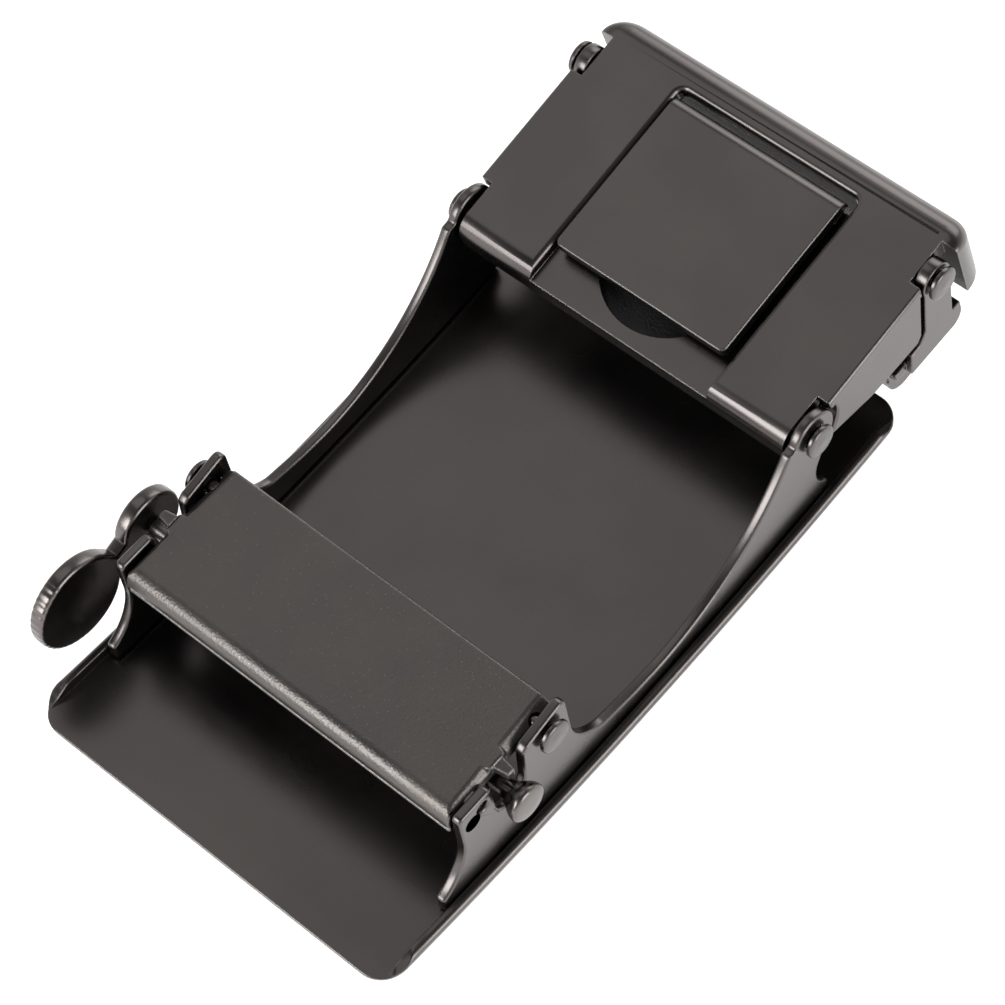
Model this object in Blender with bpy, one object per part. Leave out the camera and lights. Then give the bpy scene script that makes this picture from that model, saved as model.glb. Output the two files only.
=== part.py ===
"""Automatic belt buckle for a 35 mm strap, lying on its front face, back upwards.

X runs across the strap, Y along the strap towards the clip, Z up from the front face to the
back. The origin is on the front face, under the middle of the tray's arch. Lengths are in
millimetres until a mesh is made, and every mesh is in metres.
"""
import math

import bmesh
import bpy
from mathutils import Vector

METRES = 0.001
GAP = 0.3

# Face plate: a shallow arched tray with a low lip along each long side
PLATE_HALF_WIDTH = 20.0
PLATE_HALF_LENGTH = 32.9
PLATE_CENTRE_Y = -0.4
PLATE_CORNER_R = 2.6
PLATE_THICK = 1.5
PLATE_EDGE_R = 1.2
LIP_HEIGHT = 1.2
LIP_THICK = 0.9
LIP_HALF_LENGTH = 29.4
LIP_RAMP = 2.4
FLANK_TOP_Z = 2.1
FLANK_LEAN = 0.7
ARCH_RISE = 1.9
ARCH_FACETS = 13

# Cheeks: the two side walls that carry the pawl, the release shaft and the clip
CHEEK_INNER_X = 18.0
CHEEK_OUTER_X = 18.95
CHEEK_START_Y = -25.2
CHEEK_END_Y = 23.3
HOOK_CENTRE = (-27.2, 9.8)
HOOK_R = 5.6
LUG_TOP_Z = 13.2
SLOT_CENTRE = (-15.95, 9.95)
SLOT_R = 1.7
REAR_LUG_TOP_Z = 14.3
REAR_LUG_END_Y = -8.6
WAIST_Z = 4.2
SWEEP_CENTRE_Y = 1.0
SWEEP_R = 22.3
PIVOT_LUG_R = 2.5
ANCHOR_HOLES = ((-18.9, 11.9), (-20.2, 11.3))
ANCHOR_HOLE_R = 0.6

# Axes, as (y, z)
PAWL_AXIS = (-10.9, 12.15)
RELEASE_AXIS = (-15.95, 10.0)
CLIP_AXIS = (22.15, 12.5)
CLIP_TILT = math.radians(9.1)

# Pins and rivets
PIN_R = 0.8
PIN_HOLE_R = 1.05
PAWL_PIN_R = 0.6
PAWL_PIN_HOLE_R = 0.8
RIVET_HEAD_R = 1.55
RIVET_HEAD_RISE = 0.55

# Pawl
PAWL_HALF_WIDTH = 17.7
PAWL_TOP_FRONT = (-20.2, 13.0)
PAWL_TOP_BACK = (-9.0, 13.4)
PAWL_NOSE_R = 1.6
PAWL_UNDERSIDE_Z = 11.6
PAWL_BARREL_R = 1.75
PAWL_CHAMFER = 0.7
PAWL_CHAMFER_DROP = 0.05
TAB_HALF_WIDTH = 0.75
TAB_REACH_X = 19.2
BLADE_Y = (-21.1, -20.3)
BLADE_Z = (8.6, 10.1)
BLADE_HALF_WIDTH = 16.6

# Release shaft and lever
JOURNAL_R = 0.85
CAM_HALF_WIDTH = 14.4
CAM_HALF_REACH = 2.0
BUTTON_R = 1.8
BUTTON_BASE_X = 19.3
BUTTON_RISE = 1.7
LEVER_X = (-22.1, -20.6)
HUB_R = 3.2
LOBE_CENTRE = (-24.8, 9.3)
LOBE_R = 4.6
NECK_Y = -20.1
NECK_Z = (8.4, 10.5)
SPRING_WIRE_R = 0.22
SPRING_COIL_R = 1.2
SPRING_TURNS = 3
SPRING_X = (15.3, 17.3)

# Clip, as (y, z) from the clip's own axis before it is tilted
COVER_FRONT_HALF_WIDTH = 17.6
COVER_HALF_WIDTH = 18.85
COVER_TOP = 1.8
COVER_FRONT_Y = -2.5
COVER_ROLL_R = 1.8
FRONT_BAR_BACK_Y = -1.3
FRONT_BAR_BOTTOM = -1.8
ROOF_THICK = 1.2
FLOOR_UNDERSIDE = -0.2
FLANGE_INNER_X = 17.7
FLANGE_FRONT_R = 3.1
END_BAR_Y = (19.1, 21.9)
END_BAR_BOTTOM = -5.9
END_BAR_HALF_WIDTH = 19.1
END_BAR_CORNER_R = 2.4
END_BAR_EDGE_R = 2.0
RECESS_HALF_WIDTH = 9.6
RECESS_BACK_Y = 18.7
RECESS_FLOOR = 0.6
WINDOW_HALF_WIDTH = 8.3
WINDOW_Y = (2.2, 18.5)
HEEL_SLOT_HALF_WIDTH = 9.25
HEEL_SLOT_Y = 17.2
BAND_WALL_X = 10.9
BOSS_BACK_X = 15.7
PIVOT_TAIL_X = 16.0
BORE_X = 15.4
THUMB_CENTRE_Y = 5.2
THUMB_R = 6.3
BOSS_R = 1.7
JAW_AXIS = (16.5, 0.5)
LID_AXIS = (16.3, 0.5)

# Lid
LID_HALF_WIDTH = 9.1
LID_FRONT_Y = 1.0
LID_BACK_Y = 17.6
LID_TOP = 2.65
LID_THICK = 1.2
LID_BARREL_R = 1.3
LID_BARREL_HALF_WIDTH = 7.95
LID_LEG_TIP = (15.4, -7.0)
LID_LEG_HALF_WIDTH = 7.95
LID_PIN_R = 0.55
LID_PIN_HOLE_R = 0.7
LID_PIN_HALF_LENGTH = 8.9

# Jaw
JAW_WALL_X = (17.75, 18.9)
JAW_LUG_R = 1.7
JAW_SHELF_X = (16.8, 18.3)
JAW_SKIRT_X = (16.6, 17.45)
BELLY_BOTTOM = -11.9
BELLY_THICK = 1.0
BELLY_Y = (9.6, 17.6)
TONGUE_HALF_WIDTH = 17.3
TONGUE_THICK = 1.1
TOOTH_COUNT = 5
TOOTH_PITCH = 0.9
TOOTH_BAR_Y = 12.6
TOOTH_BAR_HALF_WIDTH = 16.0

# Grip pad under the thumb notch
PAD_HALF_WIDTH = 6.6
PAD_Y = (-1.0, 3.6)
PAD_Z = (-1.1, -0.5)

PLATING = ("gunmetal", (0.068, 0.062, 0.060), 0.34, 0.95)
POLISHED = ("gunmetal_polished", (0.105, 0.096, 0.092), 0.24, 0.95)
COATING = ("pebbled_coating", (0.066, 0.060, 0.057), 0.50, 0.60)
STEEL = ("spring_steel", (0.16, 0.155, 0.15), 0.30, 1.0)
GRAIN = ("black_grain", (0.012, 0.012, 0.012), 0.62, 0.0)


def clear_scene():
    """Remove every object that the scene starts with."""
    for obj in list(bpy.data.objects):
        bpy.data.objects.remove(obj, do_unlink=True)


def material(spec):
    """Give the Principled material of a (name, colour, roughness, metallic) spec."""
    name, colour, roughness, metallic = spec
    found = bpy.data.materials.get(name)
    if found:
        return found
    made = bpy.data.materials.new(name)
    made.use_nodes = True
    shader = made.node_tree.nodes["Principled BSDF"]
    shader.inputs["Base Color"].default_value = (*colour, 1.0)
    shader.inputs["Roughness"].default_value = roughness
    shader.inputs["Metallic"].default_value = metallic
    return made


def arc(centre, radius, start_deg, end_deg, steps):
    """Points on an arc, from the start angle to the end angle."""
    points = []
    for i in range(steps + 1):
        angle = math.radians(start_deg + (end_deg - start_deg) * i / steps)
        points.append((centre[0] + radius * math.cos(angle), centre[1] + radius * math.sin(angle)))
    return points


def arch(y):
    """Height that the arch adds at y, zero over the middle facet."""
    half_facet = PLATE_HALF_LENGTH / ARCH_FACETS
    return ARCH_RISE * max(0.0, y * y - half_facet * half_facet) / PLATE_HALF_LENGTH ** 2


def floor_z(y):
    """Top of the face plate's floor at y."""
    return PLATE_THICK + arch(y)


def finish_mesh(name, bm, spec):
    """Turn a bmesh in millimetres into an object in metres."""
    bmesh.ops.recalc_face_normals(bm, faces=bm.faces)
    bmesh.ops.scale(bm, vec=Vector((METRES, METRES, METRES)), verts=bm.verts)
    mesh = bpy.data.meshes.new(name)
    bm.to_mesh(mesh)
    bm.free()
    mesh.materials.append(material(spec))
    mesh.shade_smooth()
    mesh.set_sharp_from_angle(angle=math.radians(30))
    obj = bpy.data.objects.new(name, mesh)
    bpy.context.scene.collection.objects.link(obj)
    return obj


def extrude_outline(name, corners, shift, spec):
    """Make a prism from an outline of 3D corners and the vector it is extruded along."""
    bm = bmesh.new()
    face = bm.faces.new([bm.verts.new(corner) for corner in corners])
    result = bmesh.ops.extrude_face_region(bm, geom=[face])
    moved = [item for item in result["geom"] if isinstance(item, bmesh.types.BMVert)]
    bmesh.ops.translate(bm, vec=Vector(shift), verts=moved)
    return finish_mesh(name, bm, spec)


def prism_x(name, outline, x_span, spec=PLATING):
    """Extrude a (y, z) outline along X."""
    corners = [(x_span[0], y, z) for y, z in outline]
    return extrude_outline(name, corners, (x_span[1] - x_span[0], 0, 0), spec)


def prism_z(name, outline, z_span, spec=PLATING):
    """Extrude an (x, y) outline along Z."""
    corners = [(x, y, z_span[0]) for x, y in outline]
    return extrude_outline(name, corners, (0, 0, z_span[1] - z_span[0]), spec)


def block(name, x_span, y_span, z_span, spec=PLATING):
    """A box between two corners."""
    outline = [(x_span[0], y_span[0]), (x_span[1], y_span[0]), (x_span[1], y_span[1]), (x_span[0], y_span[1])]
    return prism_z(name, outline, z_span, spec)


def rod(name, axis, radius, x_span, spec=PLATING, sides=24):
    """A round bar along X through (y, z)."""
    return prism_x(name, arc(axis, radius, 0, 360 * (sides - 1) / sides, sides - 1), x_span, spec)


def turned(name, axis, profile, spec=PLATING, sides=24):
    """Spin a profile of (x, radius) points, whose ends are on the axis, around X."""
    bm = bmesh.new()
    verts = [bm.verts.new((x, axis[0] + radius, axis[1])) for x, radius in profile]
    edges = [bm.edges.new(pair) for pair in zip(verts, verts[1:])]
    bmesh.ops.spin(
        bm,
        geom=verts + edges,
        cent=(0, axis[0], axis[1]),
        axis=(1, 0, 0),
        angle=2 * math.pi,
        steps=sides,
    )
    bmesh.ops.remove_doubles(bm, verts=bm.verts, dist=0.001)
    return finish_mesh(name, bm, spec)


def boolean(target, helpers, operation):
    """Join or cut the target with helper objects, which stay as hidden guides."""
    for helper in helpers:
        modifier = target.modifiers.new(helper.name, "BOOLEAN")
        modifier.operation = operation
        modifier.solver = "EXACT"
        modifier.object = helper
        helper.hide_render = True
        helper.display_type = "WIRE"


def join(target, helpers):
    """Union the helpers into the target."""
    boolean(target, helpers, "UNION")


def cut(target, helpers):
    """Subtract the helpers from the target."""
    boolean(target, helpers, "DIFFERENCE")


def axis_empty(name, axis, tilt=0.0, parent=None):
    """An empty on a joint's axis at (y, z)."""
    empty = bpy.data.objects.new(name, None)
    bpy.context.scene.collection.objects.link(empty)
    empty.location = (0, axis[0] * METRES, axis[1] * METRES)
    empty.rotation_euler = (tilt, 0, 0)
    empty.parent = parent
    return empty


def hang(objects, empty, offset=(0.0, 0.0)):
    """Parent objects to an empty, with their mesh frame at minus the offset from it."""
    for obj in objects:
        obj.parent = empty
        obj.location = (0, -offset[0] * METRES, -offset[1] * METRES)


def mirror_pair(span):
    """The same X span on the right and on the left."""
    return (("right", span), ("left", (-span[1], -span[0])))


def build_face_plate():
    """The arched tray that is the buckle's show face, lying face down."""
    half_x = PLATE_HALF_WIDTH - PLATE_CORNER_R
    half_y = PLATE_HALF_LENGTH - PLATE_CORNER_R
    far, near = PLATE_CENTRE_Y + half_y, PLATE_CENTRE_Y - half_y
    outline = arc((half_x, far), PLATE_CORNER_R, 0, 90, 5)
    outline += arc((-half_x, far), PLATE_CORNER_R, 90, 180, 5)
    outline += arc((-half_x, near), PLATE_CORNER_R, 180, 270, 5)
    outline += arc((half_x, near), PLATE_CORNER_R, 270, 360, 5)
    plate = prism_z("face_plate", outline, (0, PLATE_THICK + LIP_HEIGHT))
    bm = bmesh.new()
    bm.from_mesh(plate.data)
    low = [e for e in bm.edges if all(v.co.z < 1e-6 for v in e.verts)]
    bmesh.ops.bevel(bm, geom=low, offset=PLATE_EDGE_R * METRES, segments=3, profile=0.5, affect="EDGES")
    everything = bm.verts[:] + bm.edges[:] + bm.faces[:]
    bmesh.ops.bisect_plane(bm, geom=everything, plane_co=(0, 0, FLANK_TOP_Z * METRES), plane_no=(0, 0, 1))
    for vert in bm.verts:
        depth = max(0.0, 1 - vert.co.z / METRES / FLANK_TOP_Z)
        vert.co.x *= 1 - depth * FLANK_LEAN / PLATE_HALF_WIDTH
    inside = PLATE_HALF_WIDTH - LIP_THICK
    reach = PLATE_HALF_LENGTH + 2
    bm.to_mesh(plate.data)
    bm.free()
    top = PLATE_THICK + LIP_HEIGHT + 1
    well = block("plate_well", (-inside, inside), (-reach, reach), (PLATE_THICK, top))
    cut(plate, [well])
    for side, sign in (("far", 1), ("near", -1)):
        ramp = [
            (PLATE_CENTRE_Y + sign * LIP_HALF_LENGTH, top),
            (PLATE_CENTRE_Y + sign * (LIP_HALF_LENGTH + LIP_RAMP), PLATE_THICK),
            (sign * reach, PLATE_THICK),
            (sign * reach, top),
        ]
        cut(plate, [prism_x(f"plate_{side}_ramp", ramp, (-PLATE_HALF_WIDTH - 1, PLATE_HALF_WIDTH + 1))])
    bend_plate(plate)
    return plate


def bend_plate(plate):
    """Apply the cuts, slice the tray into facets across Y and lift each slice along the arch."""
    graph = bpy.context.evaluated_depsgraph_get()
    bm = bmesh.new()
    bm.from_mesh(plate.evaluated_get(graph).to_mesh())
    for modifier in list(plate.modifiers):
        helper = modifier.object
        plate.modifiers.remove(modifier)
        bpy.data.objects.remove(helper, do_unlink=True)
    bmesh.ops.remove_doubles(bm, verts=bm.verts, dist=1e-6)
    for i in range(1, ARCH_FACETS):
        y = (-1 + 2 * i / ARCH_FACETS) * PLATE_HALF_LENGTH * METRES
        bmesh.ops.bisect_plane(
            bm, geom=bm.verts[:] + bm.edges[:] + bm.faces[:], plane_co=(0, y, 0), plane_no=(0, 1, 0)
        )
    bmesh.ops.triangulate(bm, faces=[f for f in bm.faces if len(f.verts) > 4])
    for vert in bm.verts:
        vert.co.z += arch(vert.co.y / METRES) * METRES
    bmesh.ops.recalc_face_normals(bm, faces=bm.faces)
    bm.to_mesh(plate.data)
    bm.free()


def cheek_outline():
    """Side view of a cheek: hook, slotted lug, rear lug, low waist and pivot lug."""
    bottom = []
    for i in range(9):
        y = CHEEK_END_Y + (CHEEK_START_Y - CHEEK_END_Y) * i / 8
        bottom.append((y, floor_z(y) + GAP))
    outline = list(bottom)
    outline += arc(HOOK_CENTRE, HOOK_R, -68, 0, 6)
    outline += [(HOOK_CENTRE[0] + HOOK_R + 0.1, LUG_TOP_Z - 0.7), (-20.9, LUG_TOP_Z)]
    slot_left = SLOT_CENTRE[0] - SLOT_R
    outline += [(slot_left - 0.4, LUG_TOP_Z - 0.1), (slot_left, LUG_TOP_Z - 0.6)]
    outline += arc(SLOT_CENTRE, SLOT_R, 180, 360, 8)
    outline += [(-13.7, LUG_TOP_Z), (-13.4, 13.5)]
    outline += [(REAR_LUG_END_Y - 0.6, REAR_LUG_TOP_Z), (REAR_LUG_END_Y, REAR_LUG_TOP_Z - 0.6)]
    outline += arc((REAR_LUG_END_Y + 5.0, 9.6), 5.0, 180, 250, 6)
    outline += [(-1.6, WAIST_Z + 0.15)]
    sweep_centre = (SWEEP_CENTRE_Y, WAIST_Z + SWEEP_R)
    outline += arc(sweep_centre, SWEEP_R, -90, -36, 9)
    outline += arc(CLIP_AXIS, PIVOT_LUG_R, 158, -48, 12)
    outline += arc((25.0, 6.8), 3.0, 152, 232, 5)
    return outline


def build_cheeks():
    """The two side walls, with holes for the pawl pin, the spring legs and the pivot rivets."""
    cheeks = []
    for side, span in mirror_pair((CHEEK_INNER_X, CHEEK_OUTER_X)):
        cheek = prism_x(f"cheek_{side}", cheek_outline(), span)
        through = (span[0] - 1, span[1] + 1)
        holes = [
            rod(f"cheek_{side}_pawl_hole", PAWL_AXIS, PAWL_PIN_HOLE_R, through),
            rod(f"cheek_{side}_pivot_hole", CLIP_AXIS, PIN_HOLE_R, through),
        ]
        first, second = ANCHOR_HOLES
        holes.append(rod(f"cheek_{side}_anchor_1", first, ANCHOR_HOLE_R, through, sides=12))
        holes.append(rod(f"cheek_{side}_anchor_2", second, ANCHOR_HOLE_R, through, sides=12))
        cut(cheek, holes)
        cheeks.append(cheek)
    return cheeks


def dome(base_x, radius, rise, steps=4):
    """Profile of a shallow dome from its rim at base_x to its top on the axis."""
    sign = 1 if rise > 0 else -1
    rim = sign * 0.25 * abs(rise)
    points = [(base_x, radius), (base_x + rim, radius)]
    for i in range(1, steps + 1):
        angle = math.pi / 2 * i / steps
        points.append((base_x + rim + (rise - rim) * math.sin(angle), radius * math.cos(angle)))
    points[-1] = (base_x + rise, 0)
    return points


def build_pawl_pin():
    """One pin through both cheeks and the pawl, with a domed head at each end."""
    face = CHEEK_OUTER_X + GAP
    right = dome(face, RIVET_HEAD_R, RIVET_HEAD_RISE)
    left = [(-x, radius) for x, radius in reversed(right)]
    profile = left + [(-face, PAWL_PIN_R), (face, PAWL_PIN_R)] + right
    return turned("pawl_pin", PAWL_AXIS, profile)


def build_rivet(name, axis, sign, face_x, tail_x):
    """A headed rivet whose head faces outwards and whose shank runs inwards."""
    profile = [(sign * tail_x, 0), (sign * tail_x, PIN_R), (sign * face_x, PIN_R)]
    profile += [(sign * x, radius) for x, radius in dome(face_x, RIVET_HEAD_R, RIVET_HEAD_RISE)]
    return turned(name, axis, profile)


def pawl_outline():
    """Side view of the pawl: flat back, round nose at the front and a barrel for the pin."""
    nose_centre = (PAWL_TOP_FRONT[0], PAWL_TOP_FRONT[1] - PAWL_NOSE_R)
    outline = [PAWL_TOP_BACK]
    outline += arc(nose_centre, PAWL_NOSE_R, 90, 180, 6)
    outline += [(nose_centre[0] - PAWL_NOSE_R + 0.2, 10.6), (-21.2, 10.4), (-19.8, 10.4)]
    outline += [(-18.8, PAWL_UNDERSIDE_Z), (-13.2, PAWL_UNDERSIDE_Z)]
    outline += arc(PAWL_AXIS, PAWL_BARREL_R, 210, 330, 6)
    outline += [(PAWL_TOP_BACK[0], 12.0)]
    return outline


def build_pawl(empty):
    """The spring-loaded pawl plate and its hardened blade."""
    span = (-PAWL_HALF_WIDTH, PAWL_HALF_WIDTH)
    pawl = prism_x("pawl_plate", pawl_outline(), span, COATING)
    tab_y = SLOT_CENTRE[0] + 0.4
    edge = PAWL_HALF_WIDTH
    for side, sign in (("right", 1), ("left", -1)):
        for part, y_span in (("front", (-24.0, tab_y - 1.0)), ("rear", (tab_y + 1.0, -6.0))):
            high = PAWL_TOP_BACK[1]
            low = PAWL_TOP_FRONT[1] - PAWL_CHAMFER_DROP
            wedge = [(sign * (edge - PAWL_CHAMFER), high + 1), (sign * (edge - PAWL_CHAMFER), high)]
            wedge += [(sign * edge, low), (sign * (edge + 1), low), (sign * (edge + 1), high + 1)]
            corners = [(x, y_span[0], z) for x, z in wedge]
            length = (0, y_span[1] - y_span[0], 0)
            cut(pawl, [extrude_outline(f"pawl_{side}_{part}_chamfer", corners, length, COATING)])
        tab = [
            (sign * (edge - 1), tab_y - TAB_HALF_WIDTH),
            (sign * TAB_REACH_X, tab_y - 0.4),
            (sign * TAB_REACH_X, tab_y + 0.4),
            (sign * (edge - 1), tab_y + TAB_HALF_WIDTH),
        ]
        join(pawl, [prism_z(f"pawl_{side}_tab", tab, (12.1, 13.1), COATING)])
    bore = rod("pawl_bore", PAWL_AXIS, PAWL_PIN_HOLE_R, (-TAB_REACH_X, TAB_REACH_X))
    cut(pawl, [bore])
    helpers = [m.object for m in pawl.modifiers]
    blade_outline = [
        (BLADE_Y[0], BLADE_Z[1]),
        (BLADE_Y[0], BLADE_Z[0]),
        (BLADE_Y[0] + 0.25, BLADE_Z[0]),
        (BLADE_Y[1], BLADE_Z[0] + 0.7),
        (BLADE_Y[1], BLADE_Z[1]),
    ]
    blade = prism_x("pawl_blade", blade_outline, (-BLADE_HALF_WIDTH, BLADE_HALF_WIDTH), STEEL)
    hang([pawl, blade] + helpers, empty, PAWL_AXIS)


def build_release(empty):
    """The release shaft with its flat cam and button head, and the lever on its far end."""
    reach = (LEVER_X[1] + GAP, BUTTON_BASE_X + 0.2)
    shaft = rod("release_shaft", RELEASE_AXIS, JOURNAL_R, reach, POLISHED, 20)
    cam = [
        (RELEASE_AXIS[0] - CAM_HALF_REACH, RELEASE_AXIS[1] - JOURNAL_R),
        (RELEASE_AXIS[0] + CAM_HALF_REACH, RELEASE_AXIS[1] - JOURNAL_R),
        (RELEASE_AXIS[0] + CAM_HALF_REACH, RELEASE_AXIS[1] + JOURNAL_R),
        (RELEASE_AXIS[0] - CAM_HALF_REACH, RELEASE_AXIS[1] + JOURNAL_R),
    ]
    bar = prism_x("release_cam", cam, (-CAM_HALF_WIDTH, CAM_HALF_WIDTH), POLISHED)
    head = turned(
        "release_button",
        RELEASE_AXIS,
        [(BUTTON_BASE_X, 0)] + dome(BUTTON_BASE_X, BUTTON_R, BUTTON_RISE, 5),
        POLISHED,
    )
    join(shaft, [bar, head])
    outline = arc(RELEASE_AXIS, HUB_R, -150, 165, 22)
    outline += [(NECK_Y, NECK_Z[1])]
    outline += arc(LOBE_CENTRE, LOBE_R, 30, 336, 26)
    outline += [(NECK_Y, NECK_Z[0])]
    lever = prism_x("release_lever", outline, LEVER_X, POLISHED)
    hang([shaft, bar, head, lever], empty, RELEASE_AXIS)


def build_spring(name, sign):
    """A torsion spring around the release shaft: a coil and two straight legs, as one wire."""
    curve = bpy.data.curves.new(name, "CURVE")
    curve.dimensions = "3D"
    curve.bevel_depth = SPRING_WIRE_R * METRES
    curve.bevel_resolution = 1
    curve.use_fill_caps = True
    x_start, x_end = SPRING_X
    steps_per_turn = 12
    total = SPRING_TURNS * steps_per_turn
    points = []
    for i in range(total + 1):
        angle = 2 * math.pi * i / steps_per_turn
        x = x_start + (x_end - x_start) * i / total
        y = RELEASE_AXIS[0] + SPRING_COIL_R * math.cos(angle)
        z = RELEASE_AXIS[1] + SPRING_COIL_R * math.sin(angle)
        points.append((sign * x, y, z))
    foot = (sign * x_end, points[-1][1], RELEASE_AXIS[1] - 2.6)
    arm = (sign * x_start, points[0][1], RELEASE_AXIS[1] - 3.4)
    route = [arm] + points + [foot]
    spline = curve.splines.new("POLY")
    spline.points.add(len(route) - 1)
    for point, place in zip(spline.points, route):
        point.co = (*[value * METRES for value in place], 1.0)
    curve.materials.append(material(STEEL))
    spring = bpy.data.objects.new(name, curve)
    bpy.context.scene.collection.objects.link(spring)
    return spring


def cover_outline():
    """Side view of the cover's core: rolled front edge, front bar, roof and end bar."""
    roll_centre = (COVER_FRONT_Y + COVER_ROLL_R, COVER_TOP - COVER_ROLL_R)
    outline = arc(roll_centre, COVER_ROLL_R, 90, 180, 6)
    outline += [(COVER_FRONT_Y + 0.1, FRONT_BAR_BOTTOM), (FRONT_BAR_BACK_Y, FRONT_BAR_BOTTOM)]
    outline += [(FRONT_BAR_BACK_Y, FLOOR_UNDERSIDE), (END_BAR_Y[0] + 0.5, FLOOR_UNDERSIDE)]
    outline += [(END_BAR_Y[0] + 0.5, COVER_TOP)]
    return outline


def flange_outline():
    """Side view of a side flange, with its round clearance for the cheek's lug."""
    outline = arc((0, 0), FLANGE_FRONT_R, 36, -66, 9)
    outline += [(6.6, -4.6), (12.8, -5.4), (13.5, -4.7), (14.75, COVER_TOP)]
    return outline


def build_end_bar():
    """The bar across the strap mouth, with rounded plan corners and a rounded back edge."""
    radius = END_BAR_CORNER_R
    x = END_BAR_HALF_WIDTH
    outline = [(-x, END_BAR_Y[0]), (x, END_BAR_Y[0])]
    outline += arc((x - radius, END_BAR_Y[1] - radius), radius, 0, 90, 4)
    outline += arc((-x + radius, END_BAR_Y[1] - radius), radius, 90, 180, 4)
    bar = prism_z("cover_end_bar", outline, (END_BAR_BOTTOM, COVER_TOP))
    bm = bmesh.new()
    bm.from_mesh(bar.data)
    edges = []
    for edge in bm.edges:
        middle = (edge.verts[0].co + edge.verts[1].co) / 2 / METRES
        level = abs(edge.verts[0].co.z - edge.verts[1].co.z) < 1e-6
        if level and middle.z > COVER_TOP - 0.1 and middle.y > END_BAR_Y[0] + 0.1:
            edges.append(edge)
    bmesh.ops.bevel(bm, geom=edges, offset=END_BAR_EDGE_R * METRES, segments=4, profile=0.5, affect="EDGES")
    bm.to_mesh(bar.data)
    bm.free()
    return bar


def build_cover(empty):
    """The clip's cover: roof with a recess for the lid, flanges, bosses and end bar."""
    front = (-COVER_FRONT_HALF_WIDTH, COVER_FRONT_HALF_WIDTH)
    cover = prism_x("clip_cover", cover_outline(), front)
    roof = block(
        "cover_roof",
        (-COVER_HALF_WIDTH, COVER_HALF_WIDTH),
        (2.5, 14.75),
        (COVER_TOP - ROOF_THICK, COVER_TOP),
    )
    joined = [roof, build_end_bar()]
    for side, span in mirror_pair((FLANGE_INNER_X, COVER_HALF_WIDTH)):
        joined.append(prism_x(f"cover_{side}_flange", flange_outline(), span))
    for side, span in mirror_pair((BOSS_BACK_X, COVER_FRONT_HALF_WIDTH)):
        joined.append(rod(f"cover_{side}_pivot_boss", (0, 0), BOSS_R, span, sides=28))
        joined.append(rod(f"cover_{side}_jaw_boss", (JAW_AXIS[0], 0.1), BOSS_R, span, sides=20))
    cuts = [
        block(
            "cover_recess",
            (-RECESS_HALF_WIDTH, RECESS_HALF_WIDTH),
            (-4, RECESS_BACK_Y),
            (RECESS_FLOOR, 4),
        ),
        block("cover_window", (-WINDOW_HALF_WIDTH, WINDOW_HALF_WIDTH), WINDOW_Y, (-4, 4)),
        block(
            "cover_heel_slot",
            (-HEEL_SLOT_HALF_WIDTH, HEEL_SLOT_HALF_WIDTH),
            (HEEL_SLOT_Y, WINDOW_Y[1]),
            (-4, 4),
        ),
    ]
    thumb = prism_z("cover_thumb_notch", arc((0, THUMB_CENTRE_Y), THUMB_R, 0, 350, 35), (-0.45, 4))
    cuts.append(thumb)
    for side, span in mirror_pair((BAND_WALL_X, BOSS_BACK_X - 0.1)):
        cuts.append(block(f"cover_{side}_pocket", span, (-1.2, 18.9), (-3, COVER_TOP - ROOF_THICK)))
    for side, span in mirror_pair((BOSS_BACK_X - 0.2, FLANGE_INNER_X)):
        cuts.append(block(f"cover_{side}_side_pocket", span, (2.6, 14.6), (-3, COVER_TOP - ROOF_THICK)))
    for side, span in mirror_pair((BORE_X, COVER_HALF_WIDTH + 1)):
        cuts.append(rod(f"cover_{side}_pivot_hole", (0, 0), PIN_HOLE_R, span))
        cuts.append(rod(f"cover_{side}_jaw_pin_hole", JAW_AXIS, PIN_HOLE_R, span))
    cuts.append(rod("cover_lid_pin_holes", LID_AXIS, LID_PIN_HOLE_R, (-LID_HALF_WIDTH, LID_HALF_WIDTH)))
    join(cover, joined)
    cut(cover, cuts)
    pad = block("grip_pad", (-PAD_HALF_WIDTH, PAD_HALF_WIDTH), PAD_Y, PAD_Z, GRAIN)
    hang([cover, pad] + joined + cuts, empty)


def jaw_wall_outline():
    """Side view of a jaw wall: lug on the pin, slim post, heel and flat foot."""
    outline = arc(JAW_AXIS, JAW_LUG_R, 190, -20, 12)
    outline += [(17.9, -1.8), (17.2, -6.5), (18.2, -6.5)]
    outline += arc((16.7, -7.6), 1.5, 5, -80, 4)
    outline += [(11.2, -8.5), (11.7, -5.8), (12.9, -5.8), (13.85, -4.9)]
    return outline


def jaw_floor_outline():
    """Side view of the jaw's bent floor: tongue, riser and belly."""
    belly_top = BELLY_BOTTOM + BELLY_THICK
    front, back = BELLY_Y
    outline = [(1.6, -5.0), (1.6, -5.0 - TONGUE_THICK), (front, -6.0 - TONGUE_THICK)]
    outline += arc((front + 2.0, BELLY_BOTTOM + 2.0), 2.0, 180, 270, 5)
    outline += [(back - 0.5, BELLY_BOTTOM), (back, BELLY_BOTTOM + 0.5), (back, belly_top)]
    outline += arc((front + 2.0, belly_top + 1.0), 1.0, 270, 180, 3)
    outline += [(front + 1.0, -6.0)]
    return outline


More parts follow.
